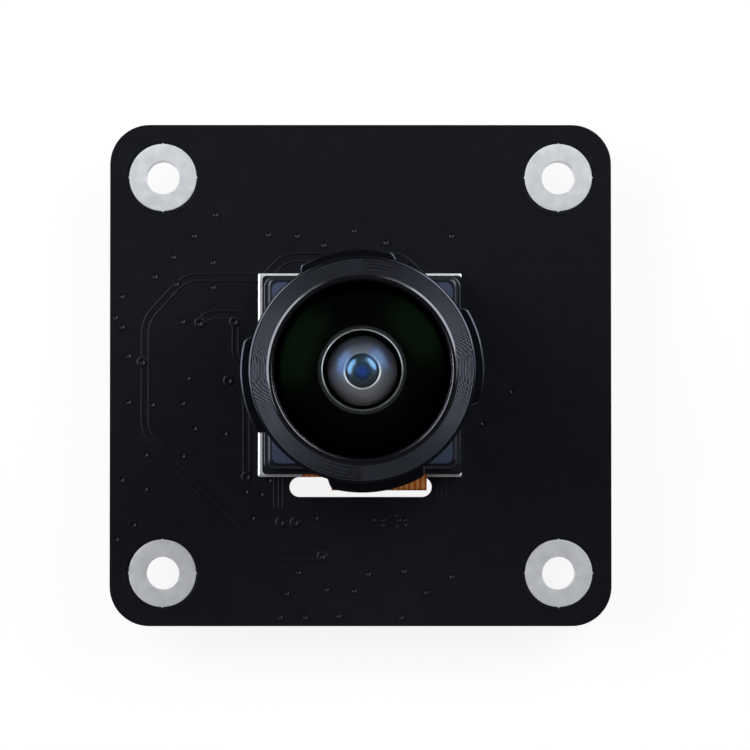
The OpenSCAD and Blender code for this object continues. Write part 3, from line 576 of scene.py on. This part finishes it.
NODE_BEVEL = {
    0.02: ("memory_chip", "capacitors", "resistors", "regulator_leads", "shifter_leads"),
    0.03: ("sensor_board", "connector_contacts", "connector_tabs", "level_shifters", "resistor_ends"),
    0.04: ("connector_latch", "voltage_regulators", "oscillator_lid", "capacitor_ends",
           "plug_stiffener", "board_socket"),
    0.05: ("connector_housing", "oscillator_base", "inductor_ends"),
    0.06: ("inductors",),
    0.10: ("circuit_board",),
}


def finish_nodes():
    """Every CAD node's finish, with a small bevel where it has edges."""
    for name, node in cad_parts.items():
        node.data.materials.clear()
        node.data.materials.append(NODE_FINISH[name])
    for width, names in NODE_BEVEL.items():
        for name in names:
            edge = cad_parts[name].modifiers.new("soft_edges", "BEVEL")
            edge.width = width * MM
            edge.segments = 2
            edge.limit_method = "ANGLE"
            edge.angle_limit = math.radians(40)
            edge.harden_normals = False


# ---------------------------------------------------------------- lens

# The ring's face: how many grooves, points across one and how deep
GROOVES, GROOVE_STEPS, GROOVE_DEPTH = 10, 10, 0.0245


def front_ring():
    """Turned ring: V grooves round its side, grooves on its face and a rolled bead over the glass."""
    low, r_out, bore = box("front_ring")[0], radius("front_ring"), 7.45
    face_z, foot_chamfer, ledge, ledge_drop, edge = low.z + 3.35, 0.08, 0.09, 0.5, 0.17
    profile = [(bore, low.z), (r_out - foot_chamfer, low.z), (r_out, low.z + foot_chamfer)]
    vee_half, vee_depth = 0.06, 0.04
    for z in (low.z + 0.55, face_z - 0.75):
        profile += [(r_out, z - vee_half), (r_out - vee_depth, z), (r_out, z + vee_half)]
    profile += [(r_out, face_z - ledge_drop), (r_out - ledge, face_z - ledge_drop + 0.01)]
    profile += [(r_out - ledge - inset, face_z - drop) for inset, drop in reversed(crowned(edge))]

    bead_r, bead_middle, bead_end = 0.16, 6.66, 165
    bead_z = face_z + 0.11 - bead_r
    slope_r, slope_start, slope_end = 0.59, 14, 38
    lean = math.radians(slope_start)
    centre_r = bead_middle + (bead_r - slope_r) * math.sin(lean)
    centre_z = bead_z + (bead_r - slope_r) * math.cos(lean)
    rim = arc(centre_r, centre_z, slope_r, 90 - slope_end, 90 - slope_start, 8, 1)
    foot_r, start = rim[0][0], r_out - ledge - edge
    for i in range(1, GROOVES * GROOVE_STEPS):
        r = start + (foot_r - start) * i / (GROOVES * GROOVE_STEPS)
        feed = 1.0 + 0.16 * math.cos(2 * math.pi * i / (2.3 * GROOVE_STEPS))
        depth = feed * GROOVE_DEPTH * (0.5 - 0.5 * math.cos(2 * math.pi * i / GROOVE_STEPS))
        profile.append((r, face_z - depth, 2))
    profile += rim
    profile += arc(bead_middle, bead_z, bead_r, 90 - slope_start, bead_end, 14, 1)[1:]

    lip_r, lip_bottom, lip_inset, lip_round = 6.5, low.z + 2.8, 0.03, 0.05
    profile += arc(lip_r - lip_inset, lip_bottom + 0.16, lip_round, 80, 200, 8)
    profile += [(lip_r, lip_bottom + lip_round), (lip_r + lip_inset, lip_bottom), (bore, lip_bottom)]
    piece = lathe(Shape(), profile, 256).make(
        "front_ring_turned", [ANODISED, BURNISHED, COMBED_FACE], "black_anodised", smooth=50)
    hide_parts("front_ring")


def hollow(low_z, sphere_r, edge_r, count, mat):
    """Points of a rear hollow from its edge, on the face at low_z, to its middle."""
    top = low_z + sphere_r - math.sqrt(sphere_r ** 2 - edge_r ** 2)
    return dome(sphere_r, top, edge_r, 0.0, count, mat)


def polished(name, profile, segments, materials):
    return lathe(Shape(), profile, segments, closed=False).make(name, materials, "optical_glass", smooth=30)


def front_element():
    """Domed negative meniscus: clear dome and hollow, blackened seat and rim, ground edge of the hollow."""
    low, high = box("front_element")
    sphere_r, rim_r = 10.4, radius("front_element")
    hollow_r, hollow_edge, ground, thin = 3.3, 2.41, 0.045, 0.26
    profile = painted_dome(sphere_r, high.z, rim_r, 72)
    profile += [(rim_r, low.z, 1), (hollow_edge + thin, low.z, 4), (hollow_edge + ground, low.z, 2)]
    rim = hollow(low.z, hollow_r, hollow_edge, 40, 3)
    rim[0] = (hollow_edge, low.z + 0.25 * ground, 3)
    profile += rim
    piece = polished("front_element_polished", profile, 256, [
        FRONT_GLASS, BLACK_PAINT, GROUND_EDGE, HOLLOW_GLASS, EDGE_PAINT])
    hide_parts("front_element")


def second_element():
    """Second meniscus: ground rear face, and a bright bevel round its coated hollow."""
    low, high = box("second_element")
    sphere_r, rim_r = 9.0, radius("second_element")
    hollow_r, hollow_edge, bevel = 4.7, 1.37, 0.14
    profile = painted_dome(sphere_r, high.z, rim_r, 40)
    profile += [(rim_r, low.z, 2)]
    profile += [(hollow_edge + 2 * bevel, low.z, 3), (hollow_edge + bevel, low.z + 0.27 * bevel, 3)]
    profile += hollow(low.z, hollow_r, hollow_edge, 32, 4)
    piece = polished("second_element_polished", profile, 192, [
        INNER_GLASS, BLACK_PAINT, GROUND, GROUND_RIM, SECOND_HOLLOW])
    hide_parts("second_element")


def third_element():
    """Plano-convex glass with a blackened edge."""
    low, high = box("third_element")
    sphere_r, rim_r, chamfer = 8.0, radius("third_element"), 0.01
    profile = painted_dome(sphere_r, high.z, rim_r - chamfer, 40)
    profile += [(rim_r, profile[-1][1] - chamfer, 1), (rim_r, low.z, 0), (0.0, low.z)]
    piece = polished("third_element_polished", profile, 160, [INNER_GLASS, BLACK_PAINT])
    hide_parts("third_element")


def lobe_radius(angle):
    """Radius of the gripping flange at an angle, in degrees from a lobe's middle; one end runs out slower."""
    lobe_r, notch_r, half, slant = 8.9, 8.0, 21.3, 5.2
    a = (angle + 45) % 90 - 45
    if a < 0:
        half, slant = half + 1.0, slant + 1.2
    a = abs(a)
    if a <= half:
        return lobe_r
    if a >= half + slant:
        return notch_r
    t = (a - half) / slant
    return lobe_r + (notch_r - lobe_r) * t * t * (3 - 2 * t)


def lens_barrel():
    """Threaded neck, four-lobed flange and head, with the bores that hold the glass."""
    low, high = box("lens_barrel")
    flange_low, flange_high = low.z + 7.05, low.z + 8.75
    seat_z, foot_z = high.z - 1.8, low.z + 0.5
    second_seat = seat_z - 2.0
    pitch, root, crest, runout, turn_steps = 0.5, 5.74, 5.985, 0.1, 6
    steps = int((flange_low - 0.25 - low.z - runout) / (pitch / turn_steps))
    neck = [(root, low.z + runout + i * pitch / turn_steps) for i in range(steps + 1)]

    def thread(i, a):
        if not 2 <= i - 1 <= steps:
            return 0.0
        phase = ((i - 1) / turn_steps - a / (2 * math.pi)) % 1.0
        return (crest - root) * max(0.0, 1 - abs(phase - 0.5) * 2.6)

    head_r, edge, front_bore, second_bore, third_bore, rear_bore = 7.4, 0.05, 7.05, 4.95, 4.2, 3.3
    inside = [
        (head_r, flange_high - 0.2), (head_r, high.z - edge), (head_r - edge, high.z), (front_bore, high.z),
        (front_bore, seat_z), (second_bore, seat_z), (second_bore, second_seat), (third_bore, second_seat),
        (third_bore, foot_z), (rear_bore, foot_z), (rear_bore, low.z),
    ]
    profile = [(root, low.z), *neck, (root, flange_low + 0.3), *inside]
    shape = lathe(Shape(), profile, 144, twist=thread)

    turn, chamfer, flange_bore = 8.5, 0.1, 5.7

    layers = [(chamfer, flange_low), (0.0, flange_low + chamfer)]
    layers += [(inset, flange_high - drop) for inset, drop in reversed(crowned(0.15))]
    lobes = [([polar(lobe_radius(k - turn) - inset, k) for k in range(360)], z) for inset, z in layers]
    hole = [polar(flange_bore, k) for k in range(360)]
    skin(shape, [(hole, flange_low), *lobes, (hole, flange_high)], centre=(AXIS_X, 0.0))
    piece = shape.make("lens_barrel_turned", [ANODISED], "black_anodised", smooth=40)
    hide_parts("lens_barrel")


def lens_holder():
    """Moulded holder: skirt, square body with rounded edges, round collar, bore and square pocket."""
    low, high = box("lens_holder")
    body, edge, corner = 7.1, 0.38, 0.5
    skirt = radius("lens_holder") + 0.05
    skirt_corner = corner + skirt - body
    skirt_z, body_z, pocket_z = low.z + 1.2, high.z - 2.0, low.z + 3.4
    rings = []

    def ring(half, r, z, mat=0):
        rings.append((rounded_block(half, half, r), z, mat))

    ring(skirt, skirt_corner, low.z)
    for inset, drop in reversed(crowned(0.10)):
        ring(skirt - inset, skirt_corner - inset / 2, skirt_z - drop, 2)
    fillet_w = 0.03
    ring(body + fillet_w, corner + fillet_w, skirt_z)
    ring(body, corner, skirt_z + 0.04)
    edge_steps, rubbed_steps = 8, (4, 5, 6)
    for i in range(edge_steps + 1):
        a = math.radians(90 * i / edge_steps)
        inset = edge * (1 - math.cos(a))
        # From the last edge step inwards the flat top takes the lighter bluish colour, a painted reflection
        # of the sky overhead.
        mat = 1 if i == edge_steps else 2 if i in rubbed_steps else 0
        ring(body - inset, corner + 0.1 * inset, body_z - edge * (1 - math.sin(a)), mat)
    collar, bore, pocket, pocket_corner = 6.65, 6.0, 4.4, 0.1
    for r, z in ((collar + 0.05, body_z), (collar, body_z + 0.04), (collar, high.z - 0.12),
                 (collar - 0.03, high.z - 0.035), (collar - 0.11, high.z), (bore + 0.03, high.z),
                 (bore, high.z - 0.05), (bore, pocket_z)):
        ring(r, r, z)
    ring(pocket, pocket_corner, pocket_z)
    ring(pocket, pocket_corner, low.z)
    piece = skin(Shape(), rings, centre=(AXIS_X, 0.0)).make(
        "lens_holder_moulded", [HOLDER, HOLDER_PAINTED_REFLECTION, HOLDER_EDGE], "black_plastic", smooth=40)
    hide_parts("lens_holder")


def stiffener_plate():
    """Stamped plate: its rolled-over edge catches the light."""
    low, high = box("stiffener_plate")
    half, middle = (high - low) / 2, (high + low) / 2
    corner = 0.14
    rings = [(rounded_block(half.x, half.y, corner), low.z)]
    for inset, drop in reversed(crowned(0.16, 10, 40)):
        rings.append((rounded_block(half.x - inset, half.y - inset, corner - 0.4 * inset), high.z - drop))
    piece = skin(Shape(), rings, closed=False, centre=(middle.x, middle.y)).make(
        "stiffener_plate_stamped", [STEEL], "stainless_steel", smooth=45)
    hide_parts("stiffener_plate")


# ---------------------------------------------------------------- board

def mounting_lands():
    """Plated holes: a barrel with a slightly domed, mottled tin land and four nibs on its edge."""
    shape = Shape()
    low, high = box("mounting_lands")
    land_r, bore_r, rise = 2.55, 1.25, 0.05
    nib_start, nib_half, nib_out = 2.5, 0.13, 0.08
    pitch = (high.x - low.x) / 2 - land_r
    for sx, sy in CORNERS:
        top = [(bore_r, high.z - 0.02), (bore_r + 0.03, high.z), (land_r - 0.12, high.z),
               (land_r - 0.03, high.z - 0.015), (land_r, high.z - rise)]
        under = [(r, low.z + high.z - z) for r, z in reversed(top)]
        lathe(shape, [*top, (bore_r + rise, high.z - rise), (bore_r + rise, low.z + rise), *under],
              72, centre=(sx * pitch, sy * pitch))
        c = Vector((sx * pitch, sy * pitch))
        for quarter in range(4):
            u = Vector(polar(1, 90 * quarter))
            v = Vector((-u.y, u.x))
            tip, foot = c + u * (land_r + nib_out), c + u * nib_start
            plan = (tip, foot + v * nib_half, foot - v * nib_half)
            verts = [(*p, z) for z in (FRONT_Z, high.z - 0.012) for p in plan]
            shape.add(verts, [[0, 2, 1], [3, 4, 5], [0, 1, 4, 3], [1, 2, 5, 4], [2, 0, 3, 5]])
    piece = shape.make("mounting_lands_tinned", [TIN], "tinned_copper", smooth=30)
    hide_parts("mounting_lands")
    return pitch


# Conductors of the front: their path, the gap between their edges and the corners' radius
FRONT_CONDUCTORS = [
    ([(-7.6, 7.42), (-13.3, 7.42), (-16.3, 4.1), (-16.3, -4.4), (-7.2, -13.72), (-3.1, -13.72)], 0.52, 2.6),
    ([(-12.15, 3.95), (-11.5, 4.55), (-9.2, 4.55), (-7.8, 3.7)], 0.6, 1.1),
    ([(-9.45, 3.7), (-9.45, 1.5), (-8.6, 0.3)], 0.45, 0.8),
    ([(-9.9, -0.5), (-8.62, -1.8), (-8.62, -7.3)], 0.45, 0.9),
    ([(-7.6, 7.0), (-5.7, 8.93), (3.1, 8.93), (4.5, 7.5)], 0.62, 2.0),
]
# Filled holes with a land of their own, then the small ones
LANDED_VIAS = [
    (-16.55, 1.0), (-2.9, -13.72), (-12.2, 3.95), (-9.55, 4.05), (-10.0, -0.4), (-8.62, -7.7),
    (-6.03, -11.15), (-4.95, -11.15),
]
SMALL_VIAS = [
    (-11.0, 12.2), (-12.6, 10.6), (-7.0, 10.7), (-4.8, 10.6), (-2.8, 9.9), (-0.5, 11.0), (1.9, 10.1),
    (-14.2, 9.0), (-11.2, 8.6), (-15.6, 7.5), (-11.2, 6.7), (-18.1, 6.0), (-18.6, 4.4), (-18.1, 3.7),
    (-13.5, 4.1), (-17.6, 1.5), (-13.1, -0.2), (-17.6, -2.0), (-15.8, -2.2), (-13.5, -2.1),
    (-12.6, -4.0), (-10.3, -4.4), (-16.3, -6.0), (-13.5, -6.1), (-18.1, -7.9), (-16.3, -8.6),
    (-17.2, -11.3), (-8.2, -10.8), (-3.4, -10.8), (-4.7, -14.9), (0.6, -15.0), (3.3, -14.8),
    (-2.6, -16.2), (-0.5, -16.3), (5.0, -16.4), (6.9, -15.2), (-5.6, -16.5), (-6.1, -18.3),
    (-4.2, -18.3), (-1.7, -18.2), (3.1, -18.3), (11.5, -1.2), (6.9, 10.6), (9.3, -3.6),
    (-13.98, 6.95), (-8.7, -8.8), (-7.55, -9.0), (-6.95, -7.95), (-18.5, -12.4),
    (1.0, -10.97), (1.65, -11.35), (1.78, -10.95), (2.68, -10.6), (2.91, -10.95), (2.76, -11.4),
    (3.39, -10.95), (3.47, -11.3),
]


def mask_openings(shape, pitch, z, up):
    """The mask's raised lip round each land."""
    ring = [(2.66, z), (2.72, z + up * 0.012), (2.84, z + up * 0.012), (2.98, z)]
    for sx, sy in CORNERS:
        lathe(shape, ring[::up], 72, closed=False, centre=(sx * pitch, sy * pitch))


def front_tracks(pitch):
    """Conductors and vias that show through the mask on the front."""
    shape = Shape()
    z = FRONT_Z - 0.001
    for points, gap, corner in FRONT_CONDUCTORS:
        conductor(shape, points, gap, z, corner)
    for places, end, height in (((-6.53, -6.18, -5.86), -10.1, 0.024), ((5.75, 6.1, 6.45), -9.6, 0.018)):
        for x in places:
            track(shape, [(x, -7.7), (x, end)], 0.2, height, z, corner=0)
    for x, y in LANDED_VIAS:
        via(shape, x, y, z, segments=24, ringed=True)
    for x, y in SMALL_VIAS:
        under_slot = 0.9 < x < 3.6 and -12 < y < -10
        via(shape, x, y, z, size=0.8 if under_slot else 1.0)
    mask_openings(shape, pitch, z, 1)
    shape.make("front_conductors", [MASK_RELIEF], "solder_mask", smooth=60)


def tail_tracks():
    """Copper lines standing out of the film on the tail's front bend."""
    low, high = box("flexible_tail")
    carrier_low, carrier_high = box("sensor_board")
    film = 0.06
    z_top = (carrier_low.z + carrier_high.z) / 2 + film
    bend, bend_steps, hang = 0.7 + film, 8, 2.2
    path = [(carrier_low.y, z_top), (low.y + bend, z_top)]
    path += [p[:2] for p in arc(low.y + bend, z_top - bend, bend, 90, 180, bend_steps)[1:]]
    path.append((low.y, z_top - hang))
    normals = []
    for i in range(len(path)):
        a, b = path[max(i - 1, 0)], path[min(i + 1, len(path) - 1)]
        d = Vector((b[0] - a[0], b[1] - a[1])).normalized()
        normals.append((d.y, -d.x))
    shape = Shape()
    lift, w = 0.012, 0.2
    first, last = low.x + 2.2 + 0.35, high.x - 0.9 - 0.3
    for line in range(math.ceil((last - first) / TAIL_PITCH)):
        x = first + TAIL_PITCH * line
        start = len(shape.verts)
        for (y, z), (ny, nz) in zip(path, normals):
            for dx, h in ((-w / 2, 0.0), (-w / 4, lift), (w / 4, lift), (w / 2, 0.0)):
                shape.verts.append((x + dx, y - ny * h, z - nz * h))
        for i in range(len(path) - 1):
            for k in range(3):
                a, b = start + 4 * i + k, start + 4 * (i + 1) + k
                shape.faces.append([a, a + 1, b + 1, b])
    shape.mats = [0] * len(shape.faces)
    shape.make("tail_conductors", [POLYIMIDE], "polyimide")


# ---------------------------------------------------------------- rear face

# Parts that cover the rear face, so that no filled hole goes under them
REAR_NODES = (
    "board_socket", "connector_housing", "voltage_regulators", "regulator_leads", "level_shifters",
    "shifter_leads", "memory_chip", "oscillator_base", "capacitors", "capacitor_ends", "resistors",
    "resistor_ends", "inductors", "inductor_ends", "connector_contacts", "connector_tabs", "flexible_tail",
)
REAR_PATHS = [
    [(-17.6, 11.0), (-17.6, 4.6), (-15.2, 2.2), (-15.2, -8.6), (-12.6, -11.2)],
    [(-16.9, 11.4), (-16.9, 5.0), (-14.6, 2.7), (-14.6, -8.2), (-12.0, -10.8)],
    [(-8.6, 13.4), (-6.2, 13.4), (-5.3, 12.5), (-5.3, 11.3)],
    [(-3.2, 7.6), (-3.2, 5.2), (-5.2, 3.2), (-5.2, 0.2)],
    [(3.2, 7.6), (3.2, 4.9), (5.0, 4.6)],
    [(8.6, 9.4), (12.4, 9.4), (14.6, 7.2), (14.6, -1.2), (13.0, -2.8), (13.0, -3.8)],
    [(8.6, 8.8), (12.1, 8.8), (14.0, 6.9), (14.0, -1.0), (11.2, -3.8)],
    [(1.2, 13.6), (5.6, 13.6), (9.4, 13.6), (11.2, 11.8)],
    [(-1.0, 12.8), (0.2, 14.2), (9.0, 14.2), (11.6, 11.6)],
    [(16.9, 11.0), (16.9, -9.6), (14.2, -12.3)],
    [(-9.0, -9.6), (-7.0, -9.6), (-5.6, -8.2), (-5.6, -7.0)],
    [(6.6, -9.9), (6.6, -8.6), (7.8, -7.6)],
]


def fillet(shape, foot, out, width, height, reach):
    """Solder run up against a metal end: a concave slope from the end's face out to the pad."""
    foot, out = Vector(foot), Vector(out)
    side = Vector((-out.y, out.x))
    section = [(-0.04, 0.0), (-0.04, height), (0.0, height), (0.18, 0.55 * height), (0.42, 0.26 * height),
               (0.72, 0.08 * height), (1.0, 0.0)]
    verts = []
    for sign in (-1, 1):
        for u, h in section:
            p = foot + out * u * reach + side * sign * width / 2 * (1 - 0.12 * max(u, 0.0))
            verts.append((p.x, p.y, REAR_Z - 0.015 - h))
    n = len(section)
    faces = [[k, (k + 1) % n, n + (k + 1) % n, n + k] for k in range(n)]
    shape.add(verts, [*faces, list(range(n))[::-1], [n + k for k in range(n)]])


def pad(shape, low, high, grow=0.06):
    """Tinned pad under a metal end, a little larger than it."""
    half = Vector(((high.x - low.x) / 2 + grow, (high.y - low.y) / 2 + grow))
    middle = ((high.x + low.x) / 2, (high.y + low.y) / 2)
    corner, inset = min(0.06, 0.4 * min(half)), 0.015
    outline = rounded_block(half.x, half.y, corner, 3)
    inner = rounded_block(half.x - inset, half.y - inset, corner, 3)
    skin(shape, [(inner, REAR_Z - 0.02), (outline, REAR_Z - 0.008), (outline, REAR_Z)], closed=False,
         centre=middle)


def end_of(low, high, out):
    """Middle of a box's far edge along out, and its width across."""
    middle, half = (low + high) / 2, (high - low) / 2
    foot = (middle.x + out[0] * half.x, middle.y + out[1] * half.y)
    return foot, 2 * (half.y if out[0] else half.x)


def from_nearest(middles, middle):
    """Way from the nearest of some bodies' middles to another middle."""
    return middle - min(middles, key=lambda m: (m - middle).length)


def solder_chip_parts(shape):
    """A pad and a fillet at both ends of every capacitor, resistor and inductor."""
    overlap = 0.36
    for bodies, ends in (("capacitors", "capacitor_ends"), ("resistors", "resistor_ends"),
                         ("inductors", "inductor_ends")):
        middles = [(low + high) / 2 for low, high in islands(bodies)]
        for low, high in islands(ends):
            away = from_nearest(middles, (low + high) / 2)
            if abs(away.x) > abs(away.y):
                out = (math.copysign(1, away.x), 0)
            else:
                out = (0, math.copysign(1, away.y))
            foot, width = end_of(low, high, out)
            tall = (high.z - low.z) * random.uniform(0.6, 0.8)
            reach = random.uniform(0.26, 0.32)
            fillet(shape, foot, out, 0.94 * width, tall, reach)
            spread = Vector((out[0], out[1], 0)) * overlap
            pad(shape, Vector([min(a, a + s) for a, s in zip(low, spread)]),
                Vector([max(a, a + s) for a, s in zip(high, spread)]))


def solder_leads(shape):
    """Pads and toe fillets of gull-wing leads, contact tails and the connector's tabs."""
    heel, toe = 0.5, 0.24
    for node, owner in (("regulator_leads", "voltage_regulators"), ("shifter_leads", "level_shifters"),
                        ("socket_contacts", "board_socket"), ("connector_contacts", "connector_housing")):
        middles = [(low + high) / 2 for low, high in islands(owner)]
        for low, high in islands(node):
            away = from_nearest(middles, (low + high) / 2)
            out = (0, 1 if node == "connector_contacts" else math.copysign(1, away.y))
            foot, width = end_of(low, high, out)
            fillet(shape, foot, out, 1.1 * width, 0.12, 0.2)
            near, far = foot[1] - out[1] * heel, foot[1] + out[1] * toe
            pad(shape, Vector((low.x, min(near, far), 0)), Vector((high.x, max(near, far), 0)), 0.05)
    for low, high in islands("connector_tabs"):
        out = (math.copysign(1, low.x + high.x), 0)
        foot, width = end_of(low, high, out)
        fillet(shape, foot, out, width, 0.16, 0.3)
        pad(shape, low - Vector((0.3, 0.12, 0)), high + Vector((0.3, 0.12, 0)), 0.05)


def side_joint(shape, x, y, out, sizes, half_x, half_y):
    """A fillet on a part's left or right side, on a pad of its own; sizes are the fillet's."""
    fillet(shape, (x, y), (out, 0), *sizes)
    pad(shape, Vector((x - half_x, y - half_y, 0)), Vector((x + half_x, y + half_y, 0)), 0.03)


def solder_flat_parts(shape):
    """Solder that shows along the edges of the two parts without leads."""
    low, high = box("memory_chip")
    lead_pitch, leads = 0.65, 4
    for i in range(leads):
        y = (low.y + high.y) / 2 + (i - (leads - 1) / 2) * lead_pitch
        for x, out in ((low.x, -1), (high.x, 1)):
            side_joint(shape, x, y, out, (0.26, 0.12, 0.22), 0.18, 0.13)
    low, high = box("oscillator_base")
    inset = 0.5
    for x, out in ((low.x, -1), (high.x, 1)):
        for y in (low.y + inset, high.y - inset):
            side_joint(shape, x, y, out, (0.7, 0.3, 0.25), 0.3, 0.36)


def pin_marks():
    """A moulded dot at the first lead of each chip."""
    shape = Shape()
    for node in ("voltage_regulators", "level_shifters", "memory_chip"):
        for low, high in islands(node):
            z, centre = low.z, (high.x - 0.45, high.y - 0.42)
            ring = [(0.0, z - 0.001), (0.10, z - 0.001), (0.13, z - 0.012), (0.17, z - 0.012), (0.20, z)]
            lathe(shape, ring[::-1], 20, closed=False, centre=centre)
    shape.make("first_lead_marks", [RESIN_GLOSS], "chip_resin", smooth=50)


def rear_tracks(pitch):
    """Conductors, filled holes and mask openings on the rear face."""
    shape = Shape()
    z = REAR_Z + 0.001
    taken = [b for node in REAR_NODES for b in islands(node)]

    def free(x, y, reach):
        return all(not (low.x - reach < x < high.x + reach and low.y - reach < y < high.y + reach)
                   for low, high in taken)

    for i, (low, high) in enumerate(islands("connector_contacts")):
        x = (low.x + high.x) / 2
        end = high.y + 0.9 + 0.55 * (i % 3)
        if free(x, end, 0.32) and free(x, end - 0.4, 0.2):
            track(shape, [(x, high.y + 0.1), (x, end)], 0.26, 0.022, z, up=-1, corner=0)
            via(shape, x, end, z, up=-1)
    for points in REAR_PATHS:
        track(shape, points, 0.3, 0.022, z, up=-1, corner=1.0)
        for x, y in (points[0], points[-1]):
            if free(x, y, 0.3):
                via(shape, x, y, z, up=-1)
    for x, y in LANDED_VIAS:
        if free(x, y, 0.5):
            via(shape, x, y, z, up=-1, segments=24, ringed=True)
    for x, y in SMALL_VIAS:
        if free(x, y, 0.35):
            via(shape, x, y, z, up=-1)
    mask_openings(shape, pitch, z, -1)
    shape.make("rear_conductors", [MASK_RELIEF], "solder_mask", smooth=60)


def rear_face(pitch):
    """Solder, first-lead dots and conductors of the rear face."""
    shape = Shape()
    solder_chip_parts(shape)
    solder_leads(shape)
    solder_flat_parts(shape)
    shape.make("solder_joints", [SOLDER], "tinned_copper", smooth=50)
    pin_marks()
    rear_tracks(pitch)


# ---------------------------------------------------------------- stage, camera, lights

def stage():
    """A pale floor that is white to the camera and keeps the object's shadow, under a soft sky."""
    size, gap, glow_share, glow_strength = 4.0, 0.00002, 0.80, 1.10
    floor_z = cad_low.z - gap
    mesh = bpy.data.meshes.new("floor")
    mesh.from_pydata([(-size, -size, floor_z), (size, -size, floor_z), (size, size, floor_z),
                      (-size, size, floor_z)], [], [[0, 1, 2, 3]])
    floor = new_object("floor", mesh)
    material, nodes = new_material("pale_floor")
    path = nodes.add("ShaderNodeLightPath").outputs
    seen = nodes.math("MAXIMUM", path["Is Camera Ray"], path["Is Glossy Ray"])
    seen = nodes.math("MAXIMUM", seen, path["Is Transmission Ray"])
    paint = nodes.add("ShaderNodeBsdfDiffuse", inputs={"Color": (0.93, 0.93, 0.94, 1)})
    glow = nodes.add("ShaderNodeEmission", inputs={"Color": (1, 1, 1, 1), "Strength": glow_strength})
    nodes.finish(nodes.add("ShaderNodeMixShader", inputs={
        0: nodes.math("MULTIPLY", seen, glow_share), 1: paint.outputs[0], 2: glow.outputs[0]}))
    mesh.materials.append(material)

    horizon, top, top_height = 0.22, 0.05, 0.7
    world = bpy.data.worlds.new("studio")
    bpy.context.scene.world = world
    nodes = clear_nodes(world)
    path = nodes.add("ShaderNodeLightPath").outputs
    up = nodes.part("Z", nodes.add("ShaderNodeTexCoord").outputs["Generated"])
    strength = nodes.add("ShaderNodeMix", data_type="FLOAT", inputs={
        "Factor": path["Is Camera Ray"], "A": nodes.ramp(up, 0.0, top_height, horizon, top), "B": 1.0})
    sky = nodes.add("ShaderNodeBackground", inputs={
        "Color": (1, 1, 1, 1), "Strength": strength.outputs["Result"]})
    nodes.add("ShaderNodeOutputWorld", inputs={"Surface": sky.outputs[0]})


def softbox(name, azimuth, distance, width, radiance):
    """A rectangular lamp at an azimuth in degrees, aimed at the board; lengths in metres."""
    zenith, height = 57, 0.30
    data = bpy.data.lights.new(name, "AREA")
    data.shape = "RECTANGLE"
    data.size, data.size_y = width, height
    data.energy = radiance * math.pi * width * height
    data.color = (0.97, 0.985, 1.0)
    light = new_object(name, data)
    a, t = math.radians(azimuth), math.radians(zenith)
    place = Vector((math.sin(t) * math.cos(a), math.sin(t) * math.sin(a), math.cos(t))) * distance
    light.location = place
    light.rotation_euler = (-place).to_track_quat("-Z", "Y").to_euler()
    light.visible_camera = False


def lights():
    """Two softboxes, each with a wider and dimmer one behind it that softens its edges."""
    for side, azimuth, width in (("left", 158, 0.50), ("right", 37, 0.40)):
        softbox(f"softbox_{side}", azimuth, 0.55, width, 3.8)
        softbox(f"softbox_{side}_edge", azimuth, 0.56, width + 0.34, 1.15)


def camera():
    """Looks straight at the board from about a third of a metre, its foot a little below the middle."""
    distance, foot, frame_width, sensor = 333.0, -8.8, 56.82, 36.0
    aim = Vector((1.09, 0.015, FRONT_Z))
    place = Vector((0.0, foot, FRONT_Z + distance))
    data = bpy.data.cameras.new("camera")
    data.sensor_width = sensor
    data.lens = sensor / frame_width * distance
    data.clip_start, data.clip_end = 0.01, 20.0
    cam = new_object("camera", data)
    cam.location = place * MM
    back = (place - aim).normalized()
    right = Vector((0, 1, 0)).cross(back).normalized()
    turn = Matrix((right, back.cross(right), back)).transposed()
    cam.rotation_euler = turn.to_euler()
    bpy.context.scene.camera = cam
    bpy.context.scene.view_settings.view_transform = "Standard"


finish_nodes()
front_ring()
front_element()
second_element()
third_element()
lens_barrel()
lens_holder()
stiffener_plate()
hole_pitch = mounting_lands()
front_tracks(hole_pitch)
rear_face(hole_pitch)
tail_tracks()
stage()
lights()
camera()
